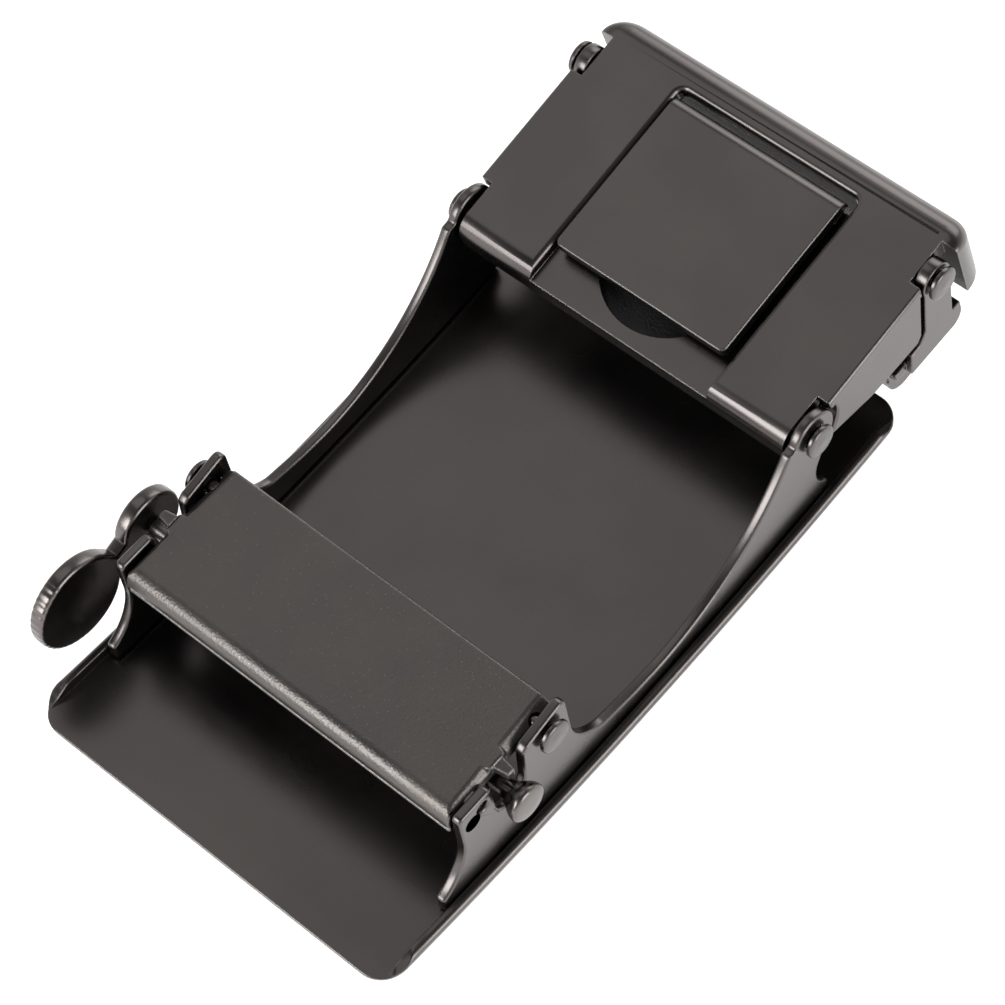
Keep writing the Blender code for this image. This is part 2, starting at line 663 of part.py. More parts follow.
def build_jaw(empty):
    """The hinged jaw that holds the strap end, and its toothed bar."""
    floor_span = (-JAW_SKIRT_X[1], JAW_SKIRT_X[1])
    jaw = prism_x("clip_jaw", jaw_floor_outline(), floor_span)
    joined = []
    for side, span in mirror_pair(JAW_SKIRT_X):
        skirt = [(9.9, -7.4), (9.9, -9.6), (11.4, -11.6), (17.2, -11.6), (17.4, -10.6), (17.4, -8.0)]
        skirt += [(14.0, -7.4)]
        joined.append(prism_x(f"jaw_{side}_skirt", skirt, span))
    for side, span in mirror_pair(JAW_SHELF_X):
        shelf = [(9.9, -7.4), (9.9, -8.4), (17.0, -9.0), (17.4, -8.0), (14.0, -7.4)]
        joined.append(prism_x(f"jaw_{side}_shelf", shelf, span))
    for side, span in mirror_pair(JAW_WALL_X):
        joined.append(prism_x(f"jaw_{side}_wall", jaw_wall_outline(), span))
    join(jaw, joined)
    cuts = []
    for side, span in mirror_pair((TONGUE_HALF_WIDTH, 20.0)):
        cuts.append(block(f"jaw_{side}_tongue_trim", span, (0, 9.8), (-9.4, -3)))
        hole = rod(f"jaw_{side}_pin_hole", JAW_AXIS, PIN_HOLE_R, (span[0] - 0.2, span[1]))
        cuts.append(hole)
    cut(jaw, cuts)
    teeth = [(TOOTH_BAR_Y + TOOTH_COUNT * TOOTH_PITCH, -10.6), (TOOTH_BAR_Y, -10.6)]
    for i in range(TOOTH_COUNT):
        start = TOOTH_BAR_Y + i * TOOTH_PITCH
        teeth += [(start, -10.2), (start + 0.15, -9.7)]
    teeth += [(TOOTH_BAR_Y + TOOTH_COUNT * TOOTH_PITCH, -10.2)]
    bar = prism_x("tooth_bar", teeth, (-TOOTH_BAR_HALF_WIDTH, TOOTH_BAR_HALF_WIDTH), STEEL)
    hang([jaw, bar] + joined + cuts, empty, JAW_AXIS)


def lid_outline():
    """Side view of the lid's middle: plate, rolled back edge, barrel and biting leg."""
    bottom = LID_TOP - LID_THICK
    outline = [(LID_FRONT_Y + 0.3, LID_TOP), (LID_FRONT_Y, LID_TOP - 0.3), (LID_FRONT_Y, bottom)]
    outline += [(14.6, bottom), (14.4, -2.0), (LID_LEG_TIP[0] - 0.9, LID_LEG_TIP[1] + 0.5)]
    outline += [(LID_LEG_TIP[0] - 0.3, LID_LEG_TIP[1]), (LID_LEG_TIP[0], LID_LEG_TIP[1] + 0.6)]
    outline += [(LID_LEG_TIP[0] + 0.3, LID_LEG_TIP[1]), (LID_LEG_TIP[0] + 0.6, LID_LEG_TIP[1] + 0.6)]
    outline += [(15.9, -2.0)]
    outline += arc(LID_AXIS, LID_BARREL_R, -75, 0, 4)
    outline += arc((LID_BACK_Y - LID_THICK, bottom), LID_THICK, 0, 90, 5)
    return outline


def build_lid(empty):
    """The square locking lid with its hinge barrel and the leg that bites the strap."""
    leg_span = (-LID_LEG_HALF_WIDTH, LID_LEG_HALF_WIDTH)
    lid = prism_x("lock_lid", lid_outline(), leg_span)
    bottom = LID_TOP - LID_THICK
    plate = [(LID_FRONT_Y + 0.3, LID_TOP), (LID_FRONT_Y, LID_TOP - 0.3), (LID_FRONT_Y, bottom)]
    plate += [(LID_BACK_Y, bottom)]
    plate += arc((LID_BACK_Y - LID_THICK, bottom), LID_THICK, 0, 90, 5)
    full = prism_x("lid_plate", plate, (-LID_HALF_WIDTH, LID_HALF_WIDTH))
    barrel = rod("lid_barrel", LID_AXIS, LID_BARREL_R, (-LID_BARREL_HALF_WIDTH, LID_BARREL_HALF_WIDTH))
    join(lid, [full, barrel])
    bore = rod("lid_bore", LID_AXIS, LID_PIN_HOLE_R, (-LID_HALF_WIDTH, LID_HALF_WIDTH))
    cut(lid, [bore])
    hang([lid, full, barrel, bore], empty, LID_AXIS)


def main():
    """Build the whole buckle."""
    clear_scene()
    build_face_plate()
    build_cheeks()
    build_pawl_pin()
    build_pawl(axis_empty("pawl_axis", PAWL_AXIS))
    build_release(axis_empty("release_axis", RELEASE_AXIS))
    for side, sign in (("right", 1), ("left", -1)):
        build_spring(f"pawl_spring_{side}", sign)
        build_rivet(f"pivot_rivet_{side}", CLIP_AXIS, sign, CHEEK_OUTER_X + GAP, PIVOT_TAIL_X)
    clip = axis_empty("clip_axis", CLIP_AXIS, CLIP_TILT)
    build_cover(clip)
    for side, sign in (("right", 1), ("left", -1)):
        pin = build_rivet(f"jaw_pin_{side}", JAW_AXIS, sign, JAW_WALL_X[1] + GAP, PIVOT_TAIL_X)
        hang([pin], clip)
    lid_pin = rod("lid_pin", LID_AXIS, LID_PIN_R, (-LID_PIN_HALF_LENGTH, LID_PIN_HALF_LENGTH), STEEL, 16)
    hang([lid_pin], clip)
    build_jaw(axis_empty("jaw_axis", JAW_AXIS, parent=clip))
    build_lid(axis_empty("lid_axis", LID_AXIS, parent=clip))


main()
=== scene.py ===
"""Looks of the automatic belt buckle: finer pieces, plated finishes, soft light and a camera.

X runs across the strap, Y along it towards the clip and Z up from the show face to the back.
Sizes are in millimetres and become metres where a mesh is made. The clip's pieces are drawn in
the clip's own frame, whose origin is its pivot, and are then tilted into place.
"""

import logging
import math
from dataclasses import dataclass
from enum import Enum
from typing import Callable, Optional, Sequence

import bmesh
import bpy
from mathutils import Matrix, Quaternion, Vector

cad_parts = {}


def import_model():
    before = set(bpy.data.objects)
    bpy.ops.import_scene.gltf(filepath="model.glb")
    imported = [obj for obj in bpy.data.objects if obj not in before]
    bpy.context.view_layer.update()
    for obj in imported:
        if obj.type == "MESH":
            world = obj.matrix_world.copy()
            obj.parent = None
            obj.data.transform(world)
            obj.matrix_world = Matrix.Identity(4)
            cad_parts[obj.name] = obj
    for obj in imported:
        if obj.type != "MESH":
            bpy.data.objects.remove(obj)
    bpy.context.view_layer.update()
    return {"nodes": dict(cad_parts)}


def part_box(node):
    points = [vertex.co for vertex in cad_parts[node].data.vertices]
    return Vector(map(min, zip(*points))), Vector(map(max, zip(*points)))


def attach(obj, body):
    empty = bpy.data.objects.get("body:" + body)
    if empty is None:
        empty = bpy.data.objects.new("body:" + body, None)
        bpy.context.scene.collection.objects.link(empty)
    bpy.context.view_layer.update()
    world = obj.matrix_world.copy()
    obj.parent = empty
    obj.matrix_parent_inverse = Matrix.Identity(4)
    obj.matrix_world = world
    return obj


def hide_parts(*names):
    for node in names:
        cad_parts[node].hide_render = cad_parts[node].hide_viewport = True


MM = 0.001
LOG = logging.getLogger("buckle")

Point = tuple[float, float]
Span = tuple[float, float]


class Pick(Enum):
    """What a selection in edit mode is made of."""

    VERTS = "VERT"
    EDGES = "EDGE"
    FACES = "FACE"


class Along(Enum):
    """The axis that an outline is extruded along."""

    X = "x"
    Z = "z"

    def place(self, point: Point, depth: float) -> Vector:
        """Put an outline's point at a depth.

        Args:
            point: (y, z) for X and (x, y) for Z, in millimetres.
            depth: Place along the axis, in millimetres.

        Returns:
            The place in metres.
        """
        if self is Along.X:
            return Vector((depth, point[0], point[1])) * MM
        return Vector((point[0], point[1], depth)) * MM


class Body(Enum):
    """The moving bodies that pieces ride on."""

    FRAME = "frame"
    PAWL = "pawl"
    RELEASE = "release"
    CLIP = "clip"
    JAW = "jaw"
    LID = "lid"


# Selecting, drawing and finishing, as by hand


def deselect() -> None:
    """Leave edit mode and deselect every object."""
    if bpy.context.mode != "OBJECT":
        bpy.ops.object.mode_set(mode="OBJECT")
    bpy.ops.object.select_all(action="DESELECT")


def activate(obj: bpy.types.Object) -> None:
    """Make an object the only selected one."""
    deselect()
    obj.select_set(True)
    bpy.context.view_layer.objects.active = obj


def edit(obj: bpy.types.Object) -> None:
    """Enter edit mode on an object with nothing in it selected."""
    activate(obj)
    bpy.ops.object.mode_set(mode="EDIT")
    bpy.ops.mesh.select_all(action="DESELECT")


def choose(kind: Pick, test: Callable[[Vector, Vector], bool]) -> int:
    """Select the parts of the mesh in edit mode that pass a test.

    Args:
        kind: Vertices, edges or faces.
        test: Called with the part's middle in millimetres, and its normal, or an edge's direction.

    Returns:
        How many were selected.
    """
    bpy.ops.mesh.select_mode(type=kind.value)
    bpy.ops.mesh.select_all(action="DESELECT")
    mesh = bpy.context.edit_object.data
    bm = bmesh.from_edit_mesh(mesh)
    count = 0
    if kind is Pick.VERTS:
        found = [(v, v.co / MM, v.normal) for v in bm.verts]
    elif kind is Pick.FACES:
        found = [(f, f.calc_center_median() / MM, f.normal) for f in bm.faces]
    else:
        found = [
            (e, (e.verts[0].co + e.verts[1].co) / 2 / MM, (e.verts[1].co - e.verts[0].co).normalized())
            for e in bm.edges
        ]
    for item, middle, direction in found:
        if test(middle, direction):
            item.select_set(True)
            count += 1
    bm.select_flush_mode()
    bmesh.update_edit_mesh(mesh)
    return count


def draw_chain(name: str, corners: Sequence[Vector], closed: bool) -> bpy.types.Object:
    """Draw a line from corner to corner, and stay in edit mode with all of it selected.

    Args:
        name: The new object's name.
        corners: Places in metres.
        closed: True to come back to the first corner.

    Returns:
        The object, with its origin at the world's.
    """
    deselect()
    bpy.ops.mesh.primitive_plane_add(size=MM, location=corners[0])
    obj = bpy.context.object
    obj.name = name
    bpy.ops.object.transform_apply(location=True, rotation=True, scale=True)
    bpy.ops.object.mode_set(mode="EDIT")
    bpy.ops.mesh.select_mode(type=Pick.VERTS.value)
    bpy.ops.mesh.select_all(action="SELECT")
    bpy.ops.mesh.merge(type="CENTER")
    route = list(corners) + ([corners[0]] if closed else [])
    for here, there in zip(route, route[1:]):
        bpy.ops.mesh.extrude_region_move(TRANSFORM_OT_translate={"value": there - here})
    bpy.ops.mesh.select_all(action="SELECT")
    bpy.ops.mesh.remove_doubles(threshold=1e-6)
    return obj


def draw_prism(name: str, outline: Sequence[Point], along: Along, span: Span) -> bpy.types.Object:
    """Draw a closed outline, fill it and extrude it into a solid.

    Args:
        name: The new object's name.
        outline: Points in millimetres.
        along: The axis that it is extruded along.
        span: Start and end along that axis, in millimetres.

    Returns:
        The solid.
    """
    obj = draw_chain(name, [along.place(point, span[0]) for point in outline], True)
    bpy.ops.mesh.edge_face_add()
    shift = along.place((0.0, 0.0), span[1]) - along.place((0.0, 0.0), span[0])
    bpy.ops.mesh.extrude_region_move(TRANSFORM_OT_translate={"value": shift})
    bpy.ops.mesh.select_all(action="SELECT")
    bpy.ops.mesh.normals_make_consistent(inside=False)
    bpy.ops.object.mode_set(mode="OBJECT")
    return obj


def draw_loft(name: str, loops: Sequence[Sequence[Vector]]) -> bpy.types.Object:
    """Draw closed loops of as many corners each, bridge them and fill the first and the last.

    Args:
        name: The new object's name.
        loops: The loops' corners in metres, in order.

    Returns:
        The solid.
    """
    rings = []
    for loop in loops:
        rings.append(draw_chain(name, loop, True))
        bpy.ops.object.mode_set(mode="OBJECT")
    deselect()
    for ring in rings:
        ring.select_set(True)
    bpy.context.view_layer.objects.active = rings[0]
    bpy.ops.object.join()
    bpy.ops.object.mode_set(mode="EDIT")
    bpy.ops.mesh.select_all(action="SELECT")
    bpy.ops.mesh.bridge_edge_loops()
    bpy.ops.mesh.select_all(action="DESELECT")
    bpy.ops.mesh.select_non_manifold(extend=False)
    bpy.ops.mesh.edge_face_add()
    bpy.ops.mesh.select_all(action="SELECT")
    bpy.ops.mesh.normals_make_consistent(inside=False)
    bpy.ops.object.mode_set(mode="OBJECT")
    return rings[0]


def draw_box(name: str, x_span: Span, y_span: Span, z_span: Span) -> bpy.types.Object:
    """Draw a plain block between two corners, for cutting and joining."""
    outline = [(x_span[0], y_span[0]), (x_span[1], y_span[0]), (x_span[1], y_span[1]), (x_span[0], y_span[1])]
    return draw_prism(name, outline, Along.Z, z_span)


def draw_rod(name: str, centre: Point, radius: float, span: Span, sides: int = 40) -> bpy.types.Object:
    """Draw a round bar along X through (y, z)."""
    return draw_prism(name, arc(centre, radius, 0, 360 - 360 / sides, sides - 1), Along.X, span)


def turn(name: str, centre: Point, profile: Sequence[Point], steps: int = 48) -> bpy.types.Object:
    """Draw a profile and spin it round an axis along X.

    Args:
        name: The new object's name.
        centre: The axis, as (y, z).
        profile: (x, radius) points whose ends are on the axis.
        steps: Facets round the axis.

    Returns:
        The turned solid.
    """
    corners = [Vector((x, centre[0] + radius, centre[1])) * MM for x, radius in profile]
    obj = draw_chain(name, corners, False)
    middle = (0.0, centre[0] * MM, centre[1] * MM)
    bpy.ops.mesh.spin(steps=steps, angle=2 * math.pi, center=middle, axis=(1, 0, 0))
    bpy.ops.mesh.select_all(action="SELECT")
    bpy.ops.mesh.remove_doubles(threshold=2e-6)
    bpy.ops.mesh.normals_make_consistent(inside=False)
    bpy.ops.object.mode_set(mode="OBJECT")
    return obj


def arc(centre: Point, radius: float, start: float, end: float, steps: int) -> list[Point]:
    """Points on an arc.

    Args:
        centre: Middle of the arc.
        radius: Its radius.
        start: Angle in degrees where it starts.
        end: Angle in degrees where it ends.
        steps: Straight pieces that it is made of.

    Returns:
        The points, both ends included.
    """
    turns = [math.radians(start + (end - start) * i / steps) for i in range(steps + 1)]
    return [(centre[0] + radius * math.cos(t), centre[1] + radius * math.sin(t)) for t in turns]


def apply_modifier(obj: bpy.types.Object, kind: str, **settings: object) -> None:
    """Add a modifier with its settings and apply it."""
    activate(obj)
    modifier = obj.modifiers.new(kind.title(), kind)
    for key, value in settings.items():
        setattr(modifier, key, value)
    bpy.ops.object.modifier_apply(modifier=modifier.name)


def combine(target: bpy.types.Object, others: Sequence[bpy.types.Object], operation: str) -> None:
    """Join solids to a target, or cut them out of it, and remove them.

    Args:
        target: The solid that is kept.
        others: The solids that are used up.
        operation: UNION or DIFFERENCE.
    """
    for other in others:
        apply_modifier(target, "BOOLEAN", operation=operation, solver="EXACT", object=other)
        mesh = other.data
        bpy.data.objects.remove(other)
        bpy.data.meshes.remove(mesh)


def round_edges(
    obj: bpy.types.Object, width: float, segments: int, test: Callable[[Vector, Vector], bool]
) -> None:
    """Bevel the edges that pass a test.

    Args:
        obj: The solid.
        width: How far the bevel reaches from the edge, in millimetres.
        segments: Facets across it.
        test: As in choose.
    """
    edit(obj)
    if choose(Pick.EDGES, test):
        bpy.ops.mesh.bevel(offset=width * MM, segments=segments, profile=0.5, affect="EDGES", clamp_overlap=False)
    bpy.ops.object.mode_set(mode="OBJECT")


def soften(obj: bpy.types.Object, width: float, segments: int = 3, angle: float = 35.0) -> None:
    """Round every edge sharper than an angle, and shade the solid smoothly.

    Args:
        obj: The solid.
        width: Reach of the rounding, in millimetres.
        segments: Facets across it.
        angle: Degrees between two faces above which their edge is rounded.
    """
    edit(obj)
    bpy.ops.mesh.select_all(action="SELECT")
    bpy.ops.mesh.remove_doubles(threshold=1e-6)
    bpy.ops.mesh.dissolve_limited(angle_limit=math.radians(0.5))
    bpy.ops.object.mode_set(mode="OBJECT")
    if width > 0:
        apply_modifier(
            obj,
            "BEVEL",
            width=width * MM,
            segments=segments,
            limit_method="ANGLE",
            angle_limit=math.radians(angle),
            use_clamp_overlap=False,
            miter_outer="MITER_ARC",
        )
    shade(obj)


def shade(obj: bpy.types.Object) -> None:
    """Shade smoothly, with the flat faces kept flat."""
    activate(obj)
    bpy.ops.object.shade_smooth_by_angle(angle=math.radians(40))
    apply_modifier(obj, "WEIGHTED_NORMAL", keep_sharp=True, weight=80)


def seat(obj: bpy.types.Object, pivot: Point, tilt: float) -> None:
    """Turn a piece about X and set it on a pivot, and leave its origin at the world's.

    Args:
        obj: The piece, drawn about its own origin.
        pivot: Where that origin goes, as (y, z) in millimetres.
        tilt: Turn about X, in degrees.
    """
    activate(obj)
    obj.location = (0.0, pivot[0] * MM, pivot[1] * MM)
    obj.rotation_euler = (math.radians(tilt), 0.0, 0.0)
    bpy.ops.object.transform_apply(location=True, rotation=True, scale=True)


def both_sides(span: Span) -> tuple[tuple[str, int, Span], tuple[str, int, Span]]:
    """The same X span on the right and on the left, with its side's name and sign."""
    return ("right", 1, span), ("left", -1, (-span[1], -span[0]))


# Finishes


def linear(colour: str) -> tuple[float, float, float, float]:
    """Turn an sRGB hex colour into linear RGBA."""
    values = [int(colour[i : i + 2], 16) / 255 for i in (1, 3, 5)]
    red, green, blue = (v / 12.92 if v <= 0.04045 else ((v + 0.055) / 1.055) ** 2.4 for v in values)
    return red, green, blue, 1.0


def add_node(
    tree: bpy.types.NodeTree,
    kind: str,
    settings: Optional[dict] = None,
    links: Optional[dict] = None,
) -> bpy.types.Node:
    """Add a shader node.

    Args:
        tree: The material's node tree.
        kind: The node's type.
        settings: Values by input name or number, or by property name.
        links: Output sockets by input name or number.

    Returns:
        The node.
    """
    node = tree.nodes.new(kind)
    for key, value in (settings or {}).items():
        if isinstance(key, int) or key in node.inputs:
            node.inputs[key].default_value = value
        else:
            setattr(node, key, value)
    for key, socket in (links or {}).items():
        tree.links.new(socket, node.inputs[key])
    return node


@dataclass(frozen=True)
class Finish:
    """A surface with slow colour variation, fine grain, lighter worn edges and, where set, painted glints.

    Lengths are in millimetres.
    """

    name: str
    colour: str
    second_colour: str
    edge_colour: str
    roughness: float
    roughness_spread: float
    metallic: float
    patch: float
    grain: float
    grain_height: float
    edge_reach: float
    edge_amount: float
    edge_round: float = 0.12
    # Painted glints: cell size in millimetres (0 for none) and the lighter colour painted in those cells
    painted_glint: float = 0.0
    painted_glint_colour: str = "#ffffff"
    pebble: float = 0.0
    pebble_height: float = 0.0

    def make(self) -> bpy.types.Material:
        """Build the material once.

        Returns:
            The material.
        """
        found = bpy.data.materials.get(self.name)
        if found:
            return found
        made = bpy.data.materials.new(self.name)
        made.use_nodes = True
        tree = made.node_tree
        shader = tree.nodes["Principled BSDF"]
        shader.inputs["Metallic"].default_value = self.metallic
        place = add_node(tree, "ShaderNodeTexCoord").outputs["Object"]
        patches = add_node(
            tree, "ShaderNodeTexNoise", {"Scale": 1 / (self.patch * MM), "Detail": 3.0}, {"Vector": place}
        )
        fine = add_node(
            tree, "ShaderNodeTexNoise", {"Scale": 1 / (self.grain * MM), "Detail": 2.0}, {"Vector": place}
        )
        rounded = add_node(tree, "ShaderNodeBevel", {"samples": 4, "Radius": self.edge_round * MM})
        colour = self._colour(tree, patches.outputs["Fac"], fine.outputs["Fac"], place)
        rough = add_node(
            tree,
            "ShaderNodeMapRange",
            {
                "From Min": 0.3,
                "From Max": 0.7,
                "To Min": self.roughness - self.roughness_spread,
                "To Max": self.roughness + self.roughness_spread,
            },
            {"Value": patches.outputs["Fac"]},
        )
        height = fine.outputs["Fac"]
        distance = self.grain_height
        if self.pebble:
            height = self._pebbles(tree, place, height)
            distance = self.pebble_height
        bump = add_node(
            tree,
            "ShaderNodeBump",
            {"Strength": 1.0, "Distance": distance * MM},
            {"Height": height, "Normal": rounded.outputs["Normal"]},
        )
        tree.links.new(colour, shader.inputs["Base Color"])
        tree.links.new(rough.outputs["Result"], shader.inputs["Roughness"])
        tree.links.new(bump.outputs["Normal"], shader.inputs["Normal"])
        return made

    def _colour(
        self,
        tree: bpy.types.NodeTree,
        patches: bpy.types.NodeSocket,
        fine: bpy.types.NodeSocket,
        place: bpy.types.NodeSocket,
    ) -> bpy.types.NodeSocket:
        """Colour from slow patches, worn edges and painted glints.

        Args:
            tree: The material's node tree.
            patches: Slow noise.
            fine: Fine noise.
            place: Object coordinates.

        Returns:
            The colour.
        """
        base = add_node(
            tree,
            "ShaderNodeValToRGB",
            links={"Fac": patches},
        )
        low, high = base.color_ramp.elements
        low.position, high.position = 0.35, 0.65
        low.color, high.color = linear(self.colour), linear(self.second_colour)
        worn = self._edge_mask(tree, fine)
        mixed = add_node(
            tree,
            "ShaderNodeMix",
            {"data_type": "RGBA", 7: linear(self.edge_colour)},
            {0: worn, 6: base.outputs["Color"]},
        )
        colour = mixed.outputs[2]
        # Painted glints: lighter spots in a few random cells, standing in for light caught by the grain
        if self.painted_glint:
            cells = add_node(
                tree, "ShaderNodeTexVoronoi", {"Scale": 1 / (self.painted_glint * MM)}, {"Vector": place}
            )
            lit = add_node(
                tree, "ShaderNodeMath", {"operation": "GREATER_THAN", 1: 0.83}, {0: cells.outputs["Color"]}
            )
            near = add_node(
                tree, "ShaderNodeMath", {"operation": "LESS_THAN", 1: 0.25}, {0: cells.outputs["Distance"]}
            )
            spot = add_node(
                tree, "ShaderNodeMath", {"operation": "MULTIPLY"}, {0: lit.outputs[0], 1: near.outputs[0]}
            )
            glinted = add_node(
                tree,
                "ShaderNodeMix",
                {"data_type": "RGBA", 7: linear(self.painted_glint_colour)},
                {0: spot.outputs[0], 6: colour},
            )
            colour = glinted.outputs[2]
        return colour

    def _edge_mask(self, tree: bpy.types.NodeTree, fine: bpy.types.NodeSocket) -> bpy.types.NodeSocket:
        """How near a convex or concave edge is, broken up by fine noise."""
        rounded = add_node(tree, "ShaderNodeBevel", {"samples": 4, "Radius": self.edge_reach * MM})
        flat = add_node(tree, "ShaderNodeNewGeometry")
        alike = add_node(
            tree,
            "ShaderNodeVectorMath",
            {"operation": "DOT_PRODUCT"},
            {0: rounded.outputs["Normal"], 1: flat.outputs["Normal"]},
        )
        away = add_node(
            tree,
            "ShaderNodeMapRange",
            {"From Min": 0.999, "From Max": 0.86, "To Min": 0.0, "To Max": self.edge_amount},
            {"Value": alike.outputs["Value"]},
        )
        broken = add_node(
            tree, "ShaderNodeMath", {"operation": "MULTIPLY_ADD", 1: 0.8, 2: 0.55}, {0: fine}
        )
        mask = add_node(
            tree,
            "ShaderNodeMath",
            {"operation": "MULTIPLY", "use_clamp": True},
            {0: away.outputs["Result"], 1: broken.outputs[0]},
        )
        return mask.outputs[0]

    def _pebbles(
        self, tree: bpy.types.NodeTree, place: bpy.types.NodeSocket, fine: bpy.types.NodeSocket
    ) -> bpy.types.NodeSocket:
        """Height of a field of round pebbles, over the fine grain."""
        cells = add_node(
            tree,
            "ShaderNodeTexVoronoi",
            {"feature": "SMOOTH_F1", "Scale": 1 / (self.pebble * MM), "Smoothness": 0.6},
            {"Vector": place},
        )
        domes = add_node(
            tree, "ShaderNodeMath", {"operation": "MULTIPLY_ADD", 1: -1.0, 2: 1.0}, {0: cells.outputs["Distance"]}
        )
        both = add_node(
            tree, "ShaderNodeMath", {"operation": "MULTIPLY_ADD", 1: 0.25}, {0: fine, 2: domes.outputs[0]}
        )
        return both.outputs[0]


# Zinc casting, tumbled and plated in black nickel: warm dark grey with soft, wide reflections
SATIN = Finish(
    name="black_nickel_plated_zinc_satin",
    colour="#5b5756",
    second_colour="#625e5c",
    edge_colour="#8f8b89",
    roughness=0.27,
    roughness_spread=0.03,
    metallic=1.0,
    patch=9.0,
    grain=0.16,
    grain_height=0.0012,
    edge_reach=0.22,
    edge_amount=0.55,
)
# The same plating over buffed parts: tighter reflections and brighter rubbed edges
BUFFED = Finish(
    name="black_nickel_plated_zinc_buffed",
    colour="#625e5c",
    second_colour="#696461",
    edge_colour="#a09b98",
    roughness=0.24,
    roughness_spread=0.03,
    metallic=1.0,
    patch=4.0,
    grain=0.2,
    grain_height=0.0015,
    edge_reach=0.25,
    edge_amount=0.6,
)
# Zinc with a sprayed textured lacquer: dull pebbles that catch light, and tiny sparks painted on as lighter spots.
# The real pebbles are about 0.1 mm and are drawn at 0.2 mm so that they show.
PEBBLED = Finish(
    name="textured_lacquer_on_zinc",
    colour="#5a5755",
    second_colour="#605c59",
    edge_colour="#8e8a87",
    roughness=0.34,
    roughness_spread=0.04,
    metallic=0.85,
    patch=5.0,
    grain=0.09,
    grain_height=0.003,
    edge_reach=0.35,
    edge_amount=0.6,
    painted_glint=0.2,
    painted_glint_colour="#7a7470",
    pebble=0.22,
    pebble_height=0.018,
)
# Hardened steel, ground: brighter and neutral
STEEL = Finish(
    name="hardened_ground_steel",
    colour="#7b7a79",
    second_colour="#868483",
    edge_colour="#b5b2af",
    roughness=0.3,
    roughness_spread=0.04,
    metallic=1.0,
    patch=3.0,
    grain=0.08,
    grain_height=0.0015,
    edge_reach=0.12,
    edge_amount=0.6,
)
# Moulded nitrile rubber with a coarse grain: black and matt, with small painted glints as lighter spots over the
# grain
GRAINED = Finish(
    name="moulded_nitrile_rubber_grained",
    colour="#0d0d0d",
    second_colour="#161515",
    edge_colour="#242322",
    roughness=0.5,
    roughness_spread=0.06,
    metallic=0.0,
    patch=2.0,
    grain=0.12,
    grain_height=0.01,
    edge_reach=0.15,
    edge_amount=0.3,
    painted_glint=0.16,
    painted_glint_colour="#4c4b49",
    pebble=0.22,
    pebble_height=0.03,
)


def dress(
    obj: bpy.types.Object, body: Body, finish: Finish, nodes: Sequence[str] = ()
) -> bpy.types.Object:
    """Give a finished piece its material and its body, and hide the CAD nodes that it stands for.

    Args:
        obj: The piece.
        body: What it moves with.
        finish: Its finish.
        nodes: CAD nodes that it replaces.

    Returns:
        The piece.
    """
    obj.data.name = obj.name
    obj.data.materials.clear()
    obj.data.materials.append(finish.make())
    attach(obj, body.value)
    if nodes:
        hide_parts(*nodes)
    LOG.info("%s rides on %s", obj.name, body.value)
    return obj


# The buckle


